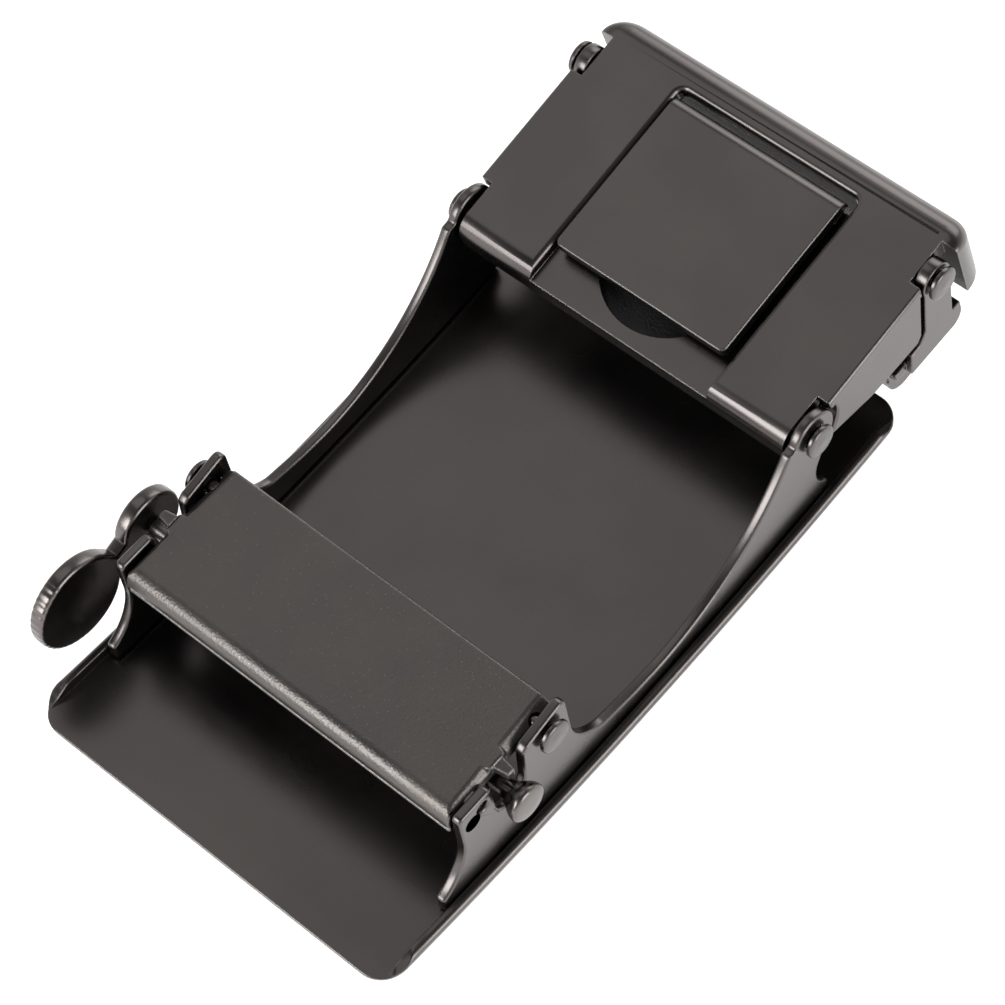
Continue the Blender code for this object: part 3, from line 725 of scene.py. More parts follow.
@dataclass
class ShowPlate:
    """The arched tray that is the buckle's show face, lying face down."""

    half_width: float = 20.0
    half_length: float = 32.9
    centre: float = -0.4
    corner: float = 2.6
    thick: float = 1.5
    edge: float = 1.2
    flank_top: float = 2.1
    flank_lean: float = 0.7
    lip_height: float = 1.2
    lip_thick: float = 0.9
    lip_round: float = 0.45
    lip_half_length: float = 29.4
    ramp: float = 2.4
    rise: float = 1.9
    slices: int = 36

    def build(self) -> None:
        """Draw the plan, roll its lower edge, hollow it, and bend it along its length."""
        x, y, corner = self.half_width - self.corner, self.half_length - self.corner, self.corner
        far, near = self.centre + y, self.centre - y
        outline = arc((x, far), corner, 0, 90, 12) + arc((-x, far), corner, 90, 180, 12)
        outline += arc((-x, near), corner, 180, 270, 12) + arc((x, near), corner, 270, 360, 12)
        top = self.thick + self.lip_height
        plate = draw_prism("show_plate", outline, Along.Z, (0.0, top))
        round_edges(plate, self.edge, 6, lambda middle, way: middle.z < 0.01)
        self._lean(plate)
        inside, reach = self.half_width - self.lip_thick, self.half_length + 2
        cuts = [draw_box("well", (-inside, inside), (-reach, reach), (self.thick, top + 1))]
        for sign in (1, -1):
            ramp = [
                (self.centre + sign * self.lip_half_length, top + 0.01),
                (self.centre + sign * (self.lip_half_length + self.ramp), self.thick),
                (sign * reach, self.thick),
                (sign * reach, top + 0.01),
            ]
            cuts.append(draw_prism("ramp", ramp, Along.X, (-reach, reach)))
        combine(plate, cuts, "DIFFERENCE")
        soften(plate, 0.0)
        flank = self.half_width - 0.02
        round_edges(
            plate, self.lip_round, 5, lambda middle, way: abs(middle.x) > flank and middle.z > top - 0.02
        )
        soften(plate, 0.12, 3, 30)
        self._bend(plate)
        shade(plate)
        dress(plate, Body.FRAME, SATIN, ["face_plate"])

    def _lean(self, plate: bpy.types.Object) -> None:
        """Draw the flanks in towards the show face, row by row."""
        edit(plate)
        bpy.ops.mesh.select_all(action="SELECT")
        bpy.ops.mesh.bisect(plane_co=(0.0, 0.0, self.flank_top * MM), plane_no=(0.0, 0.0, 1.0))
        rows = sorted({round(v.co.z / MM, 2) for v in bmesh.from_edit_mesh(plate.data).verts})
        for row in rows:
            choose(Pick.VERTS, lambda middle, way: round(middle.z, 2) == row)
            depth = max(0.0, 1 - row / self.flank_top)
            size = 1 - depth * self.flank_lean / self.half_width
            bpy.ops.transform.resize(value=(size, 1.0, 1.0), center_override=(0.0, 0.0, 0.0))
        bpy.ops.object.mode_set(mode="OBJECT")

    def _bend(self, plate: bpy.types.Object) -> None:
        """Slice the plate across its length and lift each slice onto the arch."""
        edit(plate)
        for i in range(1, self.slices):
            y = self.half_length * (2 * i / self.slices - 1)
            bpy.ops.mesh.select_all(action="SELECT")
            bpy.ops.mesh.bisect(plane_co=(0.0, y * MM, 0.0), plane_no=(0.0, 1.0, 0.0))
        rows = sorted({round(v.co.y / MM, 1) for v in bmesh.from_edit_mesh(plate.data).verts})
        for row in rows:
            choose(Pick.VERTS, lambda middle, way: round(middle.y, 1) == row)
            lift = self.rise * (row / self.half_length) ** 2
            bpy.ops.transform.translate(value=(0.0, 0.0, lift * MM))
        bpy.ops.object.mode_set(mode="OBJECT")

    def floor(self, y: float) -> float:
        """Height of the tray's floor at a place along it."""
        return self.thick + self.rise * (y / self.half_length) ** 2


@dataclass
class Cheeks:
    """The two side walls that carry the pawl, the release shaft and the clip."""

    plate: ShowPlate
    span: Span = (18.0, 18.95)
    gap: float = 0.3
    start: float = -25.2
    end: float = 23.3
    hook: Point = (-27.2, 9.8)
    hook_radius: float = 5.6
    lug_top: float = 13.2
    slot: Point = (-15.95, 9.95)
    slot_radius: float = 1.7
    rear_lug_end: float = -8.6
    rear_lug_top: float = 14.3
    waist: float = 4.2
    sweep_y: float = 1.0
    sweep_radius: float = 22.3
    clip_axis: Point = (22.15, 12.5)
    pivot_radius: float = 2.5
    pawl_axis: Point = (-10.9, 12.15)
    anchors: tuple[Point, Point] = ((-18.9, 11.9), (-20.2, 11.3))

    def _outline(self) -> list[Point]:
        """Side view: hook, slotted lug, rear lug, low waist and pivot lug."""
        steps = [self.end + (self.start - self.end) * i / 16 for i in range(17)]
        outline = [(y, self.plate.floor(y) + self.gap) for y in steps]
        outline += arc(self.hook, self.hook_radius, -68, 0, 14)
        outline += [(self.hook[0] + self.hook_radius + 0.1, self.lug_top - 0.7)]
        outline += arc((-20.9, self.lug_top - 0.6), 0.6, 170, 90, 5)
        left = self.slot[0] - self.slot_radius
        outline += arc((left - 0.5, self.lug_top - 0.5), 0.5, 90, 0, 4)
        outline += arc(self.slot, self.slot_radius, 180, 360, 20)
        outline += [(-13.95, self.lug_top - 0.2), (-13.4, 13.5)]
        outline += arc((self.rear_lug_end - 0.7, self.rear_lug_top - 0.7), 0.7, 100, 0, 6)
        outline += arc((self.rear_lug_end + 5.0, 9.6), 5.0, 180, 250, 14)
        outline += [(-1.6, self.waist + 0.15)]
        outline += arc((self.sweep_y, self.waist + self.sweep_radius), self.sweep_radius, -90, -36, 30)
        outline += arc(self.clip_axis, self.pivot_radius, 158, -48, 30)
        return outline + arc((25.0, 6.8), 3.0, 152, 232, 12)

    def build(self) -> None:
        """Draw each wall, drill it and round its edges."""
        for side, _, span in both_sides(self.span):
            wall = draw_prism(f"cheek_wall_{side}", self._outline(), Along.X, span)
            through = (span[0] - 1, span[1] + 1)
            holes = [draw_rod("pin_hole", self.pawl_axis, 0.8, through)]
            holes.append(draw_rod("pivot_hole", self.clip_axis, 1.05, through))
            holes += [draw_rod("anchor", place, 0.6, through, 24) for place in self.anchors]
            combine(wall, holes, "DIFFERENCE")
            soften(wall, 0.26, 4, 30)
            dress(wall, Body.FRAME, SATIN, [f"cheek_{side}"])


@dataclass
class Pins:
    """The pawl's pin, the clip's rivets, and the pins of the jaw and the lid."""

    cheek_face: float = 18.95
    gap: float = 0.3
    head_radius: float = 1.55
    head_rise: float = 0.55
    pawl_axis: Point = (-10.9, 12.15)
    pawl_radius: float = 0.6
    clip_axis: Point = (22.15, 12.5)
    tilt: float = 9.1
    rivet_radius: float = 0.8
    jaw_axis: Point = (16.5, 0.5)
    lid_axis: Point = (16.3, 0.5)
    lid_radius: float = 0.55
    lid_half_length: float = 8.9

    def head(self, face: float) -> list[Point]:
        """Profile of a flat, low head with a rounded rim, out from a face."""
        radius, rise = self.head_radius, self.head_rise
        rim = arc((face + rise * 0.45, radius - 0.25), 0.25, 90, 20, 5)
        return [(face, radius - 0.06), (face + 0.06, radius)] + rim + [
            (face + rise * 0.86, radius * 0.62),
            (face + rise * 0.96, radius * 0.32),
            (face + rise, 0.0),
        ]

    def build(self) -> None:
        """Turn every pin."""
        face = self.cheek_face + self.gap
        right = self.head(face)
        left = [(-x, radius) for x, radius in reversed(right)]
        profile = left + [(-face, self.pawl_radius), (face, self.pawl_radius)] + right
        pin = turn("pawl_hinge_pin", self.pawl_axis, profile)
        shade(pin)
        dress(pin, Body.FRAME, SATIN, ["pawl_pin"])
        for side, sign, _ in both_sides((0.0, 0.0)):
            self._rivet(f"clip_rivet_{side}", f"pivot_rivet_{side}", sign, self.clip_axis)
            self._rivet(f"jaw_hinge_pin_{side}", f"jaw_pin_{side}", sign, None)
        barrel = [(-self.lid_half_length, 0.0), (-self.lid_half_length, self.lid_radius - 0.1)]
        barrel += [(-self.lid_half_length + 0.1, self.lid_radius)]
        barrel += [(-x, radius) for x, radius in reversed(barrel)]
        pin = turn("lid_hinge_pin", self.lid_axis, barrel, 32)
        seat(pin, self.clip_axis, self.tilt)
        shade(pin)
        dress(pin, Body.CLIP, STEEL, ["lid_pin"])

    def _rivet(self, name: str, node: str, sign: int, axis: Optional[Point]) -> None:
        """Turn a headed rivet between the planes where its node starts and ends.

        Args:
            name: The piece's name.
            node: The CAD node that it stands for.
            sign: 1 on the right and -1 on the left.
            axis: Its axis, or None for the jaw's.
        """
        low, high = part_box(node)
        tail = min(abs(low[0]), abs(high[0])) / MM
        tip = max(abs(low[0]), abs(high[0])) / MM
        profile = [(tail, 0.0), (tail, self.rivet_radius), (tip - self.head_rise, self.rivet_radius)]
        profile += self.head(tip - self.head_rise)
        profile = [(sign * x, radius) for x, radius in profile]
        pin = turn(name, axis or self.jaw_axis, profile)
        if axis is None:
            seat(pin, self.clip_axis, self.tilt)
        shade(pin)
        dress(pin, Body.CLIP if axis is None else Body.FRAME, SATIN, [node])


@dataclass
class Pawl:
    """The spring-loaded pawl: a lacquered plate with a rolled nose, and its hardened blade."""

    half_width: float = 17.7
    top_front: Point = (-20.2, 13.0)
    top_back: Point = (-9.0, 13.4)
    nose: float = 1.6
    underside: float = 11.6
    barrel: float = 1.75
    axis: Point = (-10.9, 12.15)
    bore: float = 0.8
    chamfer: float = 1.0
    chamfer_drop: float = 0.45
    tab_y: float = -15.55
    tab_reach: float = 19.2
    blade_half_width: float = 16.6

    def _outline(self) -> list[Point]:
        """Side view: flat back, rolled nose, ledge below it and a barrel for the pin."""
        centre = (self.top_front[0], self.top_front[1] - self.nose)
        outline = arc((self.top_back[0] - 0.3, self.top_back[1] - 0.3), 0.3, 0, 90, 4)
        outline += arc(centre, self.nose, 92, 180, 16)
        outline += [(-21.72, 11.12), (-21.5, 10.95), (-21.5, 10.8)]
        outline += arc((-21.6, 10.58), 0.16, 110, 270, 6)
        outline += [(-21.2, 10.4), (-19.8, 10.4), (-18.8, self.underside), (-13.2, self.underside)]
        outline += arc(self.axis, self.barrel, 210, 330, 16)
        return outline + [(self.top_back[0], 12.0)]

    def build(self) -> None:
        """Draw the plate, chamfer it beside the lugs, add its tabs and bore, and add the blade."""
        edge = self.half_width
        plate = draw_prism("pawl_body", self._outline(), Along.X, (-edge, edge))
        cuts = [draw_rod("bore", self.axis, self.bore, (-edge - 2, edge + 2))]
        tabs = []
        for _, sign, _ in both_sides((0.0, 0.0)):
            for y_span in ((-24.0, self.tab_y - 1.0), (self.tab_y + 1.0, -6.0)):
                cuts.append(self._chamfer(sign, y_span))
            outline = [
                (sign * (edge - 1), self.tab_y - 0.8),
                (sign * self.tab_reach, self.tab_y - 0.4),
                (sign * self.tab_reach, self.tab_y + 0.4),
                (sign * (edge - 1), self.tab_y + 0.8),
            ]
            tabs.append(draw_prism("tab", outline, Along.Z, (12.1, 13.1)))
        combine(plate, cuts, "DIFFERENCE")
        combine(plate, tabs, "UNION")
        soften(plate, 0.22, 4, 30)
        dress(plate, Body.PAWL, PEBBLED, ["pawl_plate"])
        outline = [(-21.1, 10.1), (-21.1, 8.6), (-20.85, 8.6), (-20.3, 9.3), (-20.3, 10.1)]
        span = (-self.blade_half_width, self.blade_half_width)
        blade = draw_prism("pawl_blade_edge", outline, Along.X, span)
        soften(blade, 0.06, 2, 30)
        dress(blade, Body.PAWL, STEEL, ["pawl_blade"])

    def _chamfer(self, sign: int, y_span: Span) -> bpy.types.Object:
        """A wedge that bevels the plate's end where it runs beside a lug."""
        edge, high, low = self.half_width, self.top_back[1], self.top_front[1] - self.chamfer_drop
        wedge = [(edge - self.chamfer, high + 1), (edge - self.chamfer, high), (edge, low)]
        wedge += [(edge + 1, low), (edge + 1, high + 1)]
        corners = [Vector((sign * x, y_span[0], z)) * MM for x, z in wedge]
        obj = draw_chain("chamfer", corners, True)
        bpy.ops.mesh.edge_face_add()
        shift = Vector((0.0, (y_span[1] - y_span[0]) * MM, 0.0))
        bpy.ops.mesh.extrude_region_move(TRANSFORM_OT_translate={"value": shift})
        bpy.ops.mesh.select_all(action="SELECT")
        bpy.ops.mesh.normals_make_consistent(inside=False)
        bpy.ops.object.mode_set(mode="OBJECT")
        return obj


@dataclass
class Release:
    """The release shaft with its cam bar and mushroom head, and the finger lever."""

    axis: Point = (-15.95, 10.0)
    journal: float = 0.85
    cam_half_width: float = 14.4
    cam_reach: float = 2.0
    head_base: float = 19.3
    head_neck: float = 1.15
    head_radius: float = 1.8
    head_rise: float = 1.7
    head_rim: float = 0.35
    lever: Span = (-22.1, -20.6)
    hub: float = 3.2
    lobe: Point = (-24.8, 9.3)
    lobe_radius: float = 4.6
    knurls: int = 34
    knurl_height: float = 0.04
    neck_y: float = -20.1
    neck_z: Span = (8.4, 10.5)

    def build(self) -> None:
        """Turn the shaft, weld the cam to it and draw the lever."""
        start, base, radius = self.lever[1] + 0.3, self.head_base, self.head_radius
        profile = [(start, 0.0), (start, self.journal), (base, self.journal), (base, self.head_neck)]
        top, rim = base + self.head_rise, self.head_rim
        for i in range(1, 9):
            swell = math.sin(math.pi / 2 * i / 8)
            reach = self.head_neck + (radius - self.head_neck) * swell
            profile.append((base + (self.head_rise - rim - 0.1) * i / 8, reach))
        profile += arc((top - rim - 0.05, radius - rim), rim, 80, 8, 6)
        profile += [(top - 0.02, radius * 0.4), (top, 0.0)]
        shaft = turn("release_bar", self.axis, profile)
        y_span = (self.axis[0] - self.cam_reach, self.axis[0] + self.cam_reach)
        z_span = (self.axis[1] - self.journal, self.axis[1] + self.journal)
        cam = draw_box("cam", (-self.cam_half_width, self.cam_half_width), y_span, z_span)
        round_edges(cam, 0.5, 4, lambda middle, way: abs(way.x) > 0.9)
        combine(shaft, [cam], "UNION")
        shade(shaft)
        dress(shaft, Body.RELEASE, BUFFED, ["release_shaft"])
        self._lever()

    def _lever(self) -> None:
        """Draw the lever's two lobes and neck, with knurls round the big lobe."""
        outline = arc(self.axis, self.hub, -150, 165, 48)
        outline += [(self.neck_y, self.neck_z[1])]
        rim = arc(self.lobe, self.lobe_radius, 30, 336, self.knurls * 8)
        for i, (y, z) in enumerate(rim):
            swell = 1 - self.knurl_height / self.lobe_radius * (0.5 - 0.5 * math.cos(2 * math.pi * i / 8))
            swell = swell if self.knurls * 2 < i < self.knurls * 6 else 1.0
            outline.append(
                (self.lobe[0] + (y - self.lobe[0]) * swell, self.lobe[1] + (z - self.lobe[1]) * swell)
            )
        outline += [(self.neck_y, self.neck_z[0])]
        lever = draw_prism("finger_lever", outline, Along.X, self.lever)
        round_edges(lever, 0.38, 5, lambda middle, way: abs(way.x) < 0.5)
        shade(lever)
        dress(lever, Body.RELEASE, BUFFED, ["release_lever"])


@dataclass
class Clip:
    """What the clip's pieces share: its pivot, its tilt and the jaw's and lid's axes."""

    pivot: Point = (22.15, 12.5)
    tilt: float = 9.1
    jaw_axis: Point = (16.5, 0.5)
    lid_axis: Point = (16.3, 0.5)

    def seat(self, obj: bpy.types.Object) -> None:
        """Tilt a piece drawn in the clip's frame into its place."""
        seat(obj, self.pivot, self.tilt)


@dataclass
class Cover:
    """The clip's shell: rolled front, two bands, a recess for the lid, flanges and an end bar."""

    clip: Clip
    half_width: float = 18.85
    front_half_width: float = 17.6
    top: float = 1.8
    front: float = -2.5
    roll: float = 1.8
    roof: float = 1.2
    bar: Span = (19.1, 21.9)
    bar_bottom: float = -5.9
    bar_half_width: float = 19.1
    bar_corner: float = 2.5
    bar_round: float = 2.2
    bar_end: float = 1.4
    bar_end_drop: float = 0.6
    boss_radius: float = 1.7
    recess: float = 9.6
    recess_back: float = 18.5
    recess_corner: float = 0.7
    recess_round: float = 0.55
    flange_front: float = 3.1
    saddle: Span = (2.52, 14.75)
    saddle_round: float = 0.25
    recess_floor: float = 0.6
    window: float = 8.3
    thumb_centre: float = 5.2
    thumb_radius: float = 6.3

    def _side(self) -> list[Point]:
        """Side view: rolled front edge, roof and the root of the end bar."""
        centre = (self.front + self.roll, self.top - self.roll)
        outline = arc(centre, self.roll, 90, 180, 14)
        end = self.bar[0] + 0.3
        outline += [(self.front + 0.1, -1.8), (-1.3, -1.8), (-1.3, -0.2)]
        return outline + [(end, -0.2), (end, self.top)]

    def _bar(self) -> bpy.types.Object:
        """The end bar as a loft across the strap, rounded along its back and at both ends."""
        near, far = self.bar
        ends = []
        for i in range(13):
            swing = math.pi / 2 * i / 12
            x = self.bar_half_width - self.bar_corner * (1 - math.cos(swing))
            depth = far - near - self.bar_corner * (1 - math.sin(swing))
            past = max(0.0, (x - self.bar_half_width) / self.bar_end + 1)
            crown = self.top - self.bar_end_drop * (1 - math.sqrt(max(0.0, 1 - past * past)))
            radius = self.bar_round * depth / (far - near)
            side = [(near, self.bar_bottom), (near + depth, self.bar_bottom)]
            side += arc((near + depth - radius, crown - radius), radius, 0, 90, 14)
            ends.append((x, side + [(near, crown)]))
        loops = [[Along.X.place(point, -x) for point in side] for x, side in ends]
        loops += [[Along.X.place(point, x) for point in side] for x, side in reversed(ends)]
        return draw_loft("end_bar", loops)

    def _flange(self) -> list[Point]:
        """Side view of a flange, with its round clearance for the cheek's lug."""
        start = math.degrees(math.asin(self.top / self.flange_front))
        outline = arc((0.0, 0.0), self.flange_front, start, -66, 20)
        return outline + [(6.6, -4.6), (12.8, -5.4), (13.5, -4.7), (14.75, self.top)]

    def build(self) -> None:
        """Draw the core, saddle and end bar, weld them, cut the recess and add the inlay."""
        front = self.front_half_width
        shell = draw_prism("clip_shell", self._side(), Along.X, (-front, front))
        parts = [self._saddle(), self._bar()]
        for _, _, span in both_sides((15.7, front)):
            parts.append(draw_rod("boss", (0.0, 0.0), self.boss_radius, span))
            parts.append(draw_rod("jaw_boss", (self.clip.jaw_axis[0], 0.0), self.boss_radius - 0.2, span))
        combine(shell, parts, "UNION")
        combine(shell, self._cuts(), "DIFFERENCE")
        soften(shell, 0.0)
        self.clip.seat(shell)
        shade(shell)
        dress(shell, Body.CLIP, SATIN, ["clip_cover"])
        self._pad()

    def _saddle(self) -> bpy.types.Object:
        """The wide part of the roof with its two flanges, rounded outside."""
        wide = self.half_width
        saddle = draw_box("saddle", (-wide, wide), self.saddle, (self.top - self.roof, self.top))
        flanges = [draw_prism("flange", self._flange(), Along.X, span) for _, _, span in both_sides((17.7, wide))]
        combine(saddle, flanges, "UNION")
        soften(saddle, 0.0)
        round_edges(saddle, self.saddle_round, 4, lambda middle, way: abs(middle.x) > wide - 0.01)
        return saddle

    def _recess(self) -> bpy.types.Object:
        """The recess as a solid that flares at the top, which rolls the bands' inner edges."""
        loops = []
        levels = [(self.recess_floor, 0.0), (self.top - self.recess_round, 0.0)]
        for i in range(1, 7):
            turn_by = math.pi / 2 * i / 6
            height = self.top - self.recess_round * (1 - math.sin(turn_by))
            levels.append((height, self.recess_round * (1 - math.cos(turn_by))))
        levels.append((self.top + 2, self.recess_round + 0.001))
        for height, flare in levels:
            x, back, radius = self.recess + flare, self.recess_back + flare, self.recess_corner + flare
            outline = [(-x, -4.0), (x, -4.0)] + arc((x - radius, back - radius), radius, 0, 90, 8)
            outline += arc((-x + radius, back - radius), radius, 90, 180, 8)
            loops.append([Along.Z.place(point, height) for point in outline])
        return draw_loft("recess", loops)

    def _cuts(self) -> list[bpy.types.Object]:
        """The recess, window, thumb notch, pockets and holes."""
        roof = self.top - self.roof
        cuts = [self._recess()]
        cuts.append(draw_box("window", (-self.window, self.window), (2.2, 18.8), (-4.0, self.recess_floor + 0.02)))
        cuts.append(draw_box("heel_slot", (-9.75, 9.75), (17.2, 18.8), (-4.0, self.recess_floor + 0.02)))
        thumb = arc((0.0, self.thumb_centre), self.thumb_radius, 0, 355, 71)
        cuts.append(draw_prism("thumb_notch", thumb, Along.Z, (-0.45, 4.0)))
        for _, _, span in both_sides((10.9, 15.6)):
            cuts.append(draw_box("pocket", span, (-1.2, 18.9), (-3.0, roof)))
        for _, _, span in both_sides((15.5, 17.7)):
            cuts.append(draw_box("side_pocket", span, (2.6, 14.6), (-3.0, roof)))
        for _, _, span in both_sides((15.4, self.half_width + 1)):
            cuts.append(draw_rod("pivot_hole", (0.0, 0.0), 1.05, span))
            cuts.append(draw_rod("jaw_hole", self.clip.jaw_axis, 1.05, span))
        cuts.append(draw_rod("lid_hole", self.clip.lid_axis, 0.7, (-9.1, 9.1)))
        return cuts

    def _pad(self) -> None:
        """The grained inlay under the thumb notch, with softened edges."""
        pad = draw_box("grain_inlay", (-6.6, 6.6), (-1.0, 3.6), (-1.1, -0.5))
        soften(pad, 0.12, 3, 30)
        self.clip.seat(pad)
        shade(pad)
        dress(pad, Body.CLIP, GRAINED, ["grip_pad"])


@dataclass
class Jaw:
    """The hinged jaw that holds the strap's end, and its toothed bar."""

    clip: Clip
    wall: Span = (17.75, 18.9)
    shelf: Span = (16.8, 18.3)
    skirt: Span = (16.6, 17.45)
    lug: float = 1.7
    bottom: float = -11.9
    thick: float = 1.0
    belly: Span = (9.6, 17.6)
    tongue: float = 17.3
    tongue_thick: float = 1.1
    teeth: int = 5
    pitch: float = 0.9
    teeth_start: float = 12.6
    teeth_half_width: float = 16.0

    def _wall(self) -> list[Point]:
        """Side view of a wall: lug on the pin, slim post, heel and flat foot."""
        outline = arc(self.clip.jaw_axis, self.lug, 190, -20, 28)
        outline += [(17.9, -1.8), (17.2, -6.5), (18.2, -6.5)]
        outline += arc((16.7, -7.6), 1.5, 5, -80, 10)
        return outline + [(11.2, -8.5), (11.7, -5.8), (12.9, -5.8), (13.85, -4.9)]

    def _floor(self) -> list[Point]:
        """Side view of the bent floor: tongue, riser and belly."""
        top, (front, back) = self.bottom + self.thick, self.belly
        outline = [(1.6, -5.0), (1.6, -5.0 - self.tongue_thick), (front, -6.0 - self.tongue_thick)]
        outline += arc((front + 2.0, self.bottom + 2.0), 2.0, 180, 270, 12)
        outline += [(back - 0.5, self.bottom), (back, self.bottom + 0.5), (back, top)]
        outline += arc((front + 2.0, top + 1.0), 1.0, 270, 180, 8)
        return outline + [(front + 1.0, -6.0)]

    def build(self) -> None:
        """Draw the floor, skirts and walls, weld them, and add the teeth."""
        jaw = draw_prism("strap_jaw", self._floor(), Along.X, (-self.skirt[1], self.skirt[1]))
        skirt = [(9.9, -7.4), (9.9, -9.6), (11.4, -11.6), (17.2, -11.6), (17.4, -10.6), (17.4, -8.0)]
        skirt += [(14.0, -7.4)]
        parts = [draw_prism("skirt", skirt, Along.X, span) for _, _, span in both_sides(self.skirt)]
        shelf = [(9.9, -7.4), (9.9, -8.4), (17.0, -9.0), (17.4, -8.0), (14.0, -7.4)]
        parts += [draw_prism("shelf", shelf, Along.X, span) for _, _, span in both_sides(self.shelf)]
        parts += [draw_prism("wall", self._wall(), Along.X, span) for _, _, span in both_sides(self.wall)]
        for part in parts:
            soften(part, 0.12, 3, 30)
        combine(jaw, parts, "UNION")
        cuts = []
        for _, _, span in both_sides((self.tongue, 20.0)):
            cuts.append(draw_box("trim", span, (0.0, 9.8), (-9.4, -3.0)))
            cuts.append(draw_rod("pin_hole", self.clip.jaw_axis, 1.05, (span[0] - 0.2, span[1])))
        combine(jaw, cuts, "DIFFERENCE")
        soften(jaw, 0.0)
        self.clip.seat(jaw)
        shade(jaw)
        dress(jaw, Body.JAW, SATIN, ["clip_jaw"])
        self._teeth()

    def _teeth(self) -> None:
        """Draw the toothed bar that bites the strap."""
        end = self.teeth_start + self.teeth * self.pitch
        outline = [(end, -10.6), (self.teeth_start, -10.6)]
        for i in range(self.teeth):
            start = self.teeth_start + i * self.pitch
            outline += [(start, -10.2), (start + 0.15, -9.7)]
        outline += [(end, -10.2)]
        span = (-self.teeth_half_width, self.teeth_half_width)
        bar = draw_prism("gripper_teeth", outline, Along.X, span)
        soften(bar, 0.03, 2, 30)
        self.clip.seat(bar)
        shade(bar)
        dress(bar, Body.JAW, STEEL, ["tooth_bar"])


@dataclass
class Lid:
    """The square locking lid, with its barrel and the leg that bites the strap."""

    clip: Clip
    half_width: float = 9.1
    front: float = 1.0
    back: float = 17.6
    top: float = 2.65
    thick: float = 1.2
    corner: float = 0.6
    barrel: float = 1.3
    barrel_half_width: float = 7.95
    leg_half_width: float = 7.95
    leg_tip: Point = (15.4, -7.0)

    def build(self) -> None:
        """Draw the plate, round its corners, weld the leg and barrel to it, and bore it."""
        bottom = self.top - self.thick
        side = [(self.front, self.top), (self.front, bottom), (self.back, bottom)]
        side += arc((self.back - self.thick, bottom), self.thick, 0, 90, 12)
        lid = draw_prism("locking_lid", side, Along.X, (-self.half_width, self.half_width))
        round_edges(lid, self.corner, 6, lambda middle, way: abs(way.z) > 0.9 and middle.y < 2)
        soften(lid, 0.16, 3, 30)
        leg = [(14.6, bottom), (14.4, -2.0), (self.leg_tip[0] - 0.9, self.leg_tip[1] + 0.5)]
        leg += [(self.leg_tip[0] - 0.3, self.leg_tip[1]), (self.leg_tip[0], self.leg_tip[1] + 0.6)]
        leg += [(self.leg_tip[0] + 0.3, self.leg_tip[1]), (self.leg_tip[0] + 0.6, self.leg_tip[1] + 0.6)]
        leg += [(15.9, -2.0)] + arc(self.clip.lid_axis, self.barrel, -75, 0, 8) + [(17.0, bottom + 0.3)]
        span = (-self.leg_half_width, self.leg_half_width)
        parts = [draw_prism("leg", leg, Along.X, span)]
        barrel = (-self.barrel_half_width, self.barrel_half_width)
        parts.append(draw_rod("barrel", self.clip.lid_axis, self.barrel, barrel))
        combine(lid, parts, "UNION")
        reach = self.half_width + 1
        combine(lid, [draw_rod("bore", self.clip.lid_axis, 0.7, (-reach, reach))], "DIFFERENCE")
        soften(lid, 0.0)
        self.clip.seat(lid)
        shade(lid)
        dress(lid, Body.LID, SATIN, ["lock_lid"])


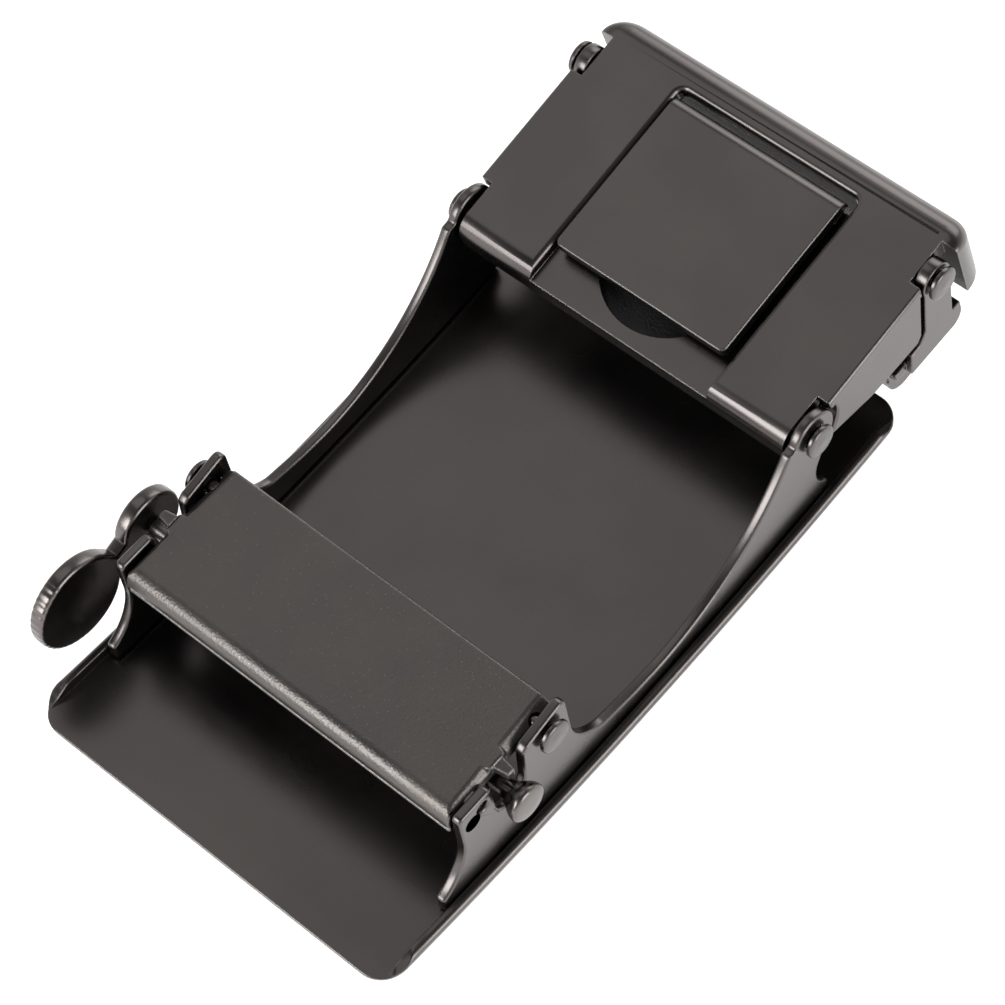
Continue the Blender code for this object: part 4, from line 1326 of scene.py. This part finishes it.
@dataclass
class Studio:
    """A plain pale floor, soft lights and the camera."""

    eye: tuple[float, float, float] = (123.23, -85.29, 266.0)
    target: tuple[float, float, float] = (0.39, 3.85, 8.0)
    roll: float = -14.83
    lens: float = 130.15
    floor: float = 900.0
    floor_glow: float = 0.75
    room_strength: float = 1.0
    fade: Span = (0.15, 0.9)
    zenith: str = "#6c6c6c"

    def build(self) -> None:
        """Place the floor, the lights and the camera."""
        deselect()
        bpy.ops.mesh.primitive_plane_add(size=self.floor * MM, location=(0.0, 0.0, -0.02 * MM))
        floor = bpy.context.object
        floor.name = "studio_floor"
        paper = bpy.data.materials.new("white_paper_sweep")
        paper.use_nodes = True
        shader = paper.node_tree.nodes["Principled BSDF"]
        shader.inputs["Base Color"].default_value = linear("#f4f4f4")
        shader.inputs["Roughness"].default_value = 0.9
        shader.inputs["Emission Color"].default_value = linear("#ffffff")
        shader.inputs["Emission Strength"].default_value = self.floor_glow
        floor.data.materials.append(paper)
        self._room()
        self._lamp("top_softbox", (-200.0, 65.0, 450.0), 260.0, 0.145)
        self._lamp("side_softbox", (420.0, 40.0, 160.0), 260.0, 1.0)
        self._lamp("back_softbox", (-100.0, 430.0, 250.0), 280.0, 0.5)
        self._lamp("front_softbox", (-120.0, -360.0, 200.0), 200.0, 1.0)
        self._camera()

    def _room(self) -> None:
        """Surround the buckle with a room that is bright at the horizon and dim overhead."""
        world = bpy.data.worlds.new("soft_room")
        world.use_nodes = True
        tree = world.node_tree
        sky = tree.nodes["Background"]
        sky.inputs["Strength"].default_value = self.room_strength
        way = add_node(tree, "ShaderNodeTexCoord").outputs["Generated"]
        height = add_node(tree, "ShaderNodeSeparateXYZ", links={0: way}).outputs["Z"]
        fade = add_node(tree, "ShaderNodeValToRGB", links={"Fac": height})
        low, high = fade.color_ramp.elements
        low.position, high.position = self.fade
        low.color, high.color = linear("#ffffff"), linear(self.zenith)
        tree.links.new(fade.outputs["Color"], sky.inputs["Color"])
        bpy.context.scene.world = world
        bpy.context.scene.view_settings.view_transform = "Standard"

    def _lamp(self, name: str, place: tuple[float, float, float], size: float, power: float) -> None:
        """Add a square area light that faces the buckle.

        Args:
            name: The light's name.
            place: Where it is, in millimetres.
            size: Its side, in millimetres.
            power: Its power in watts.
        """
        where = Vector(place) * MM
        bpy.ops.object.light_add(type="AREA", location=where)
        lamp = bpy.context.object
        lamp.name = name
        lamp.data.size = size * MM
        lamp.data.energy = power
        lamp.rotation_euler = (-where).to_track_quat("-Z", "Y").to_euler()

    def _camera(self) -> None:
        """Add the camera, aimed at the target and rolled."""
        eye, target = Vector(self.eye) * MM, Vector(self.target) * MM
        bpy.ops.object.camera_add(location=eye)
        camera = bpy.context.object
        camera.name = "main_camera"
        aim = (target - eye).to_track_quat("-Z", "Y")
        camera.rotation_euler = (aim @ Quaternion((0.0, 0.0, 1.0), math.radians(self.roll))).to_euler()
        camera.data.sensor_width = 36.0
        camera.data.lens = self.lens
        camera.data.clip_start = 0.01
        bpy.context.scene.camera = camera


def main() -> None:
    """Load the frame, build every sub-assembly and set the studio up."""
    logging.basicConfig(level=logging.INFO, format="%(name)s: %(message)s")
    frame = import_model()
    plate = ShowPlate()
    plate.build()
    Cheeks(plate).build()
    Pins().build()
    Pawl().build()
    Release().build()
    clip = Clip()
    Cover(clip).build()
    Jaw(clip).build()
    Lid(clip).build()
    for side in ("left", "right"):
        spring = frame["nodes"][f"pawl_spring_{side}"]
        for place in spring.material_slots:
            place.material = STEEL.make()
    Studio().build()


if __name__ == "__main__":
    main()
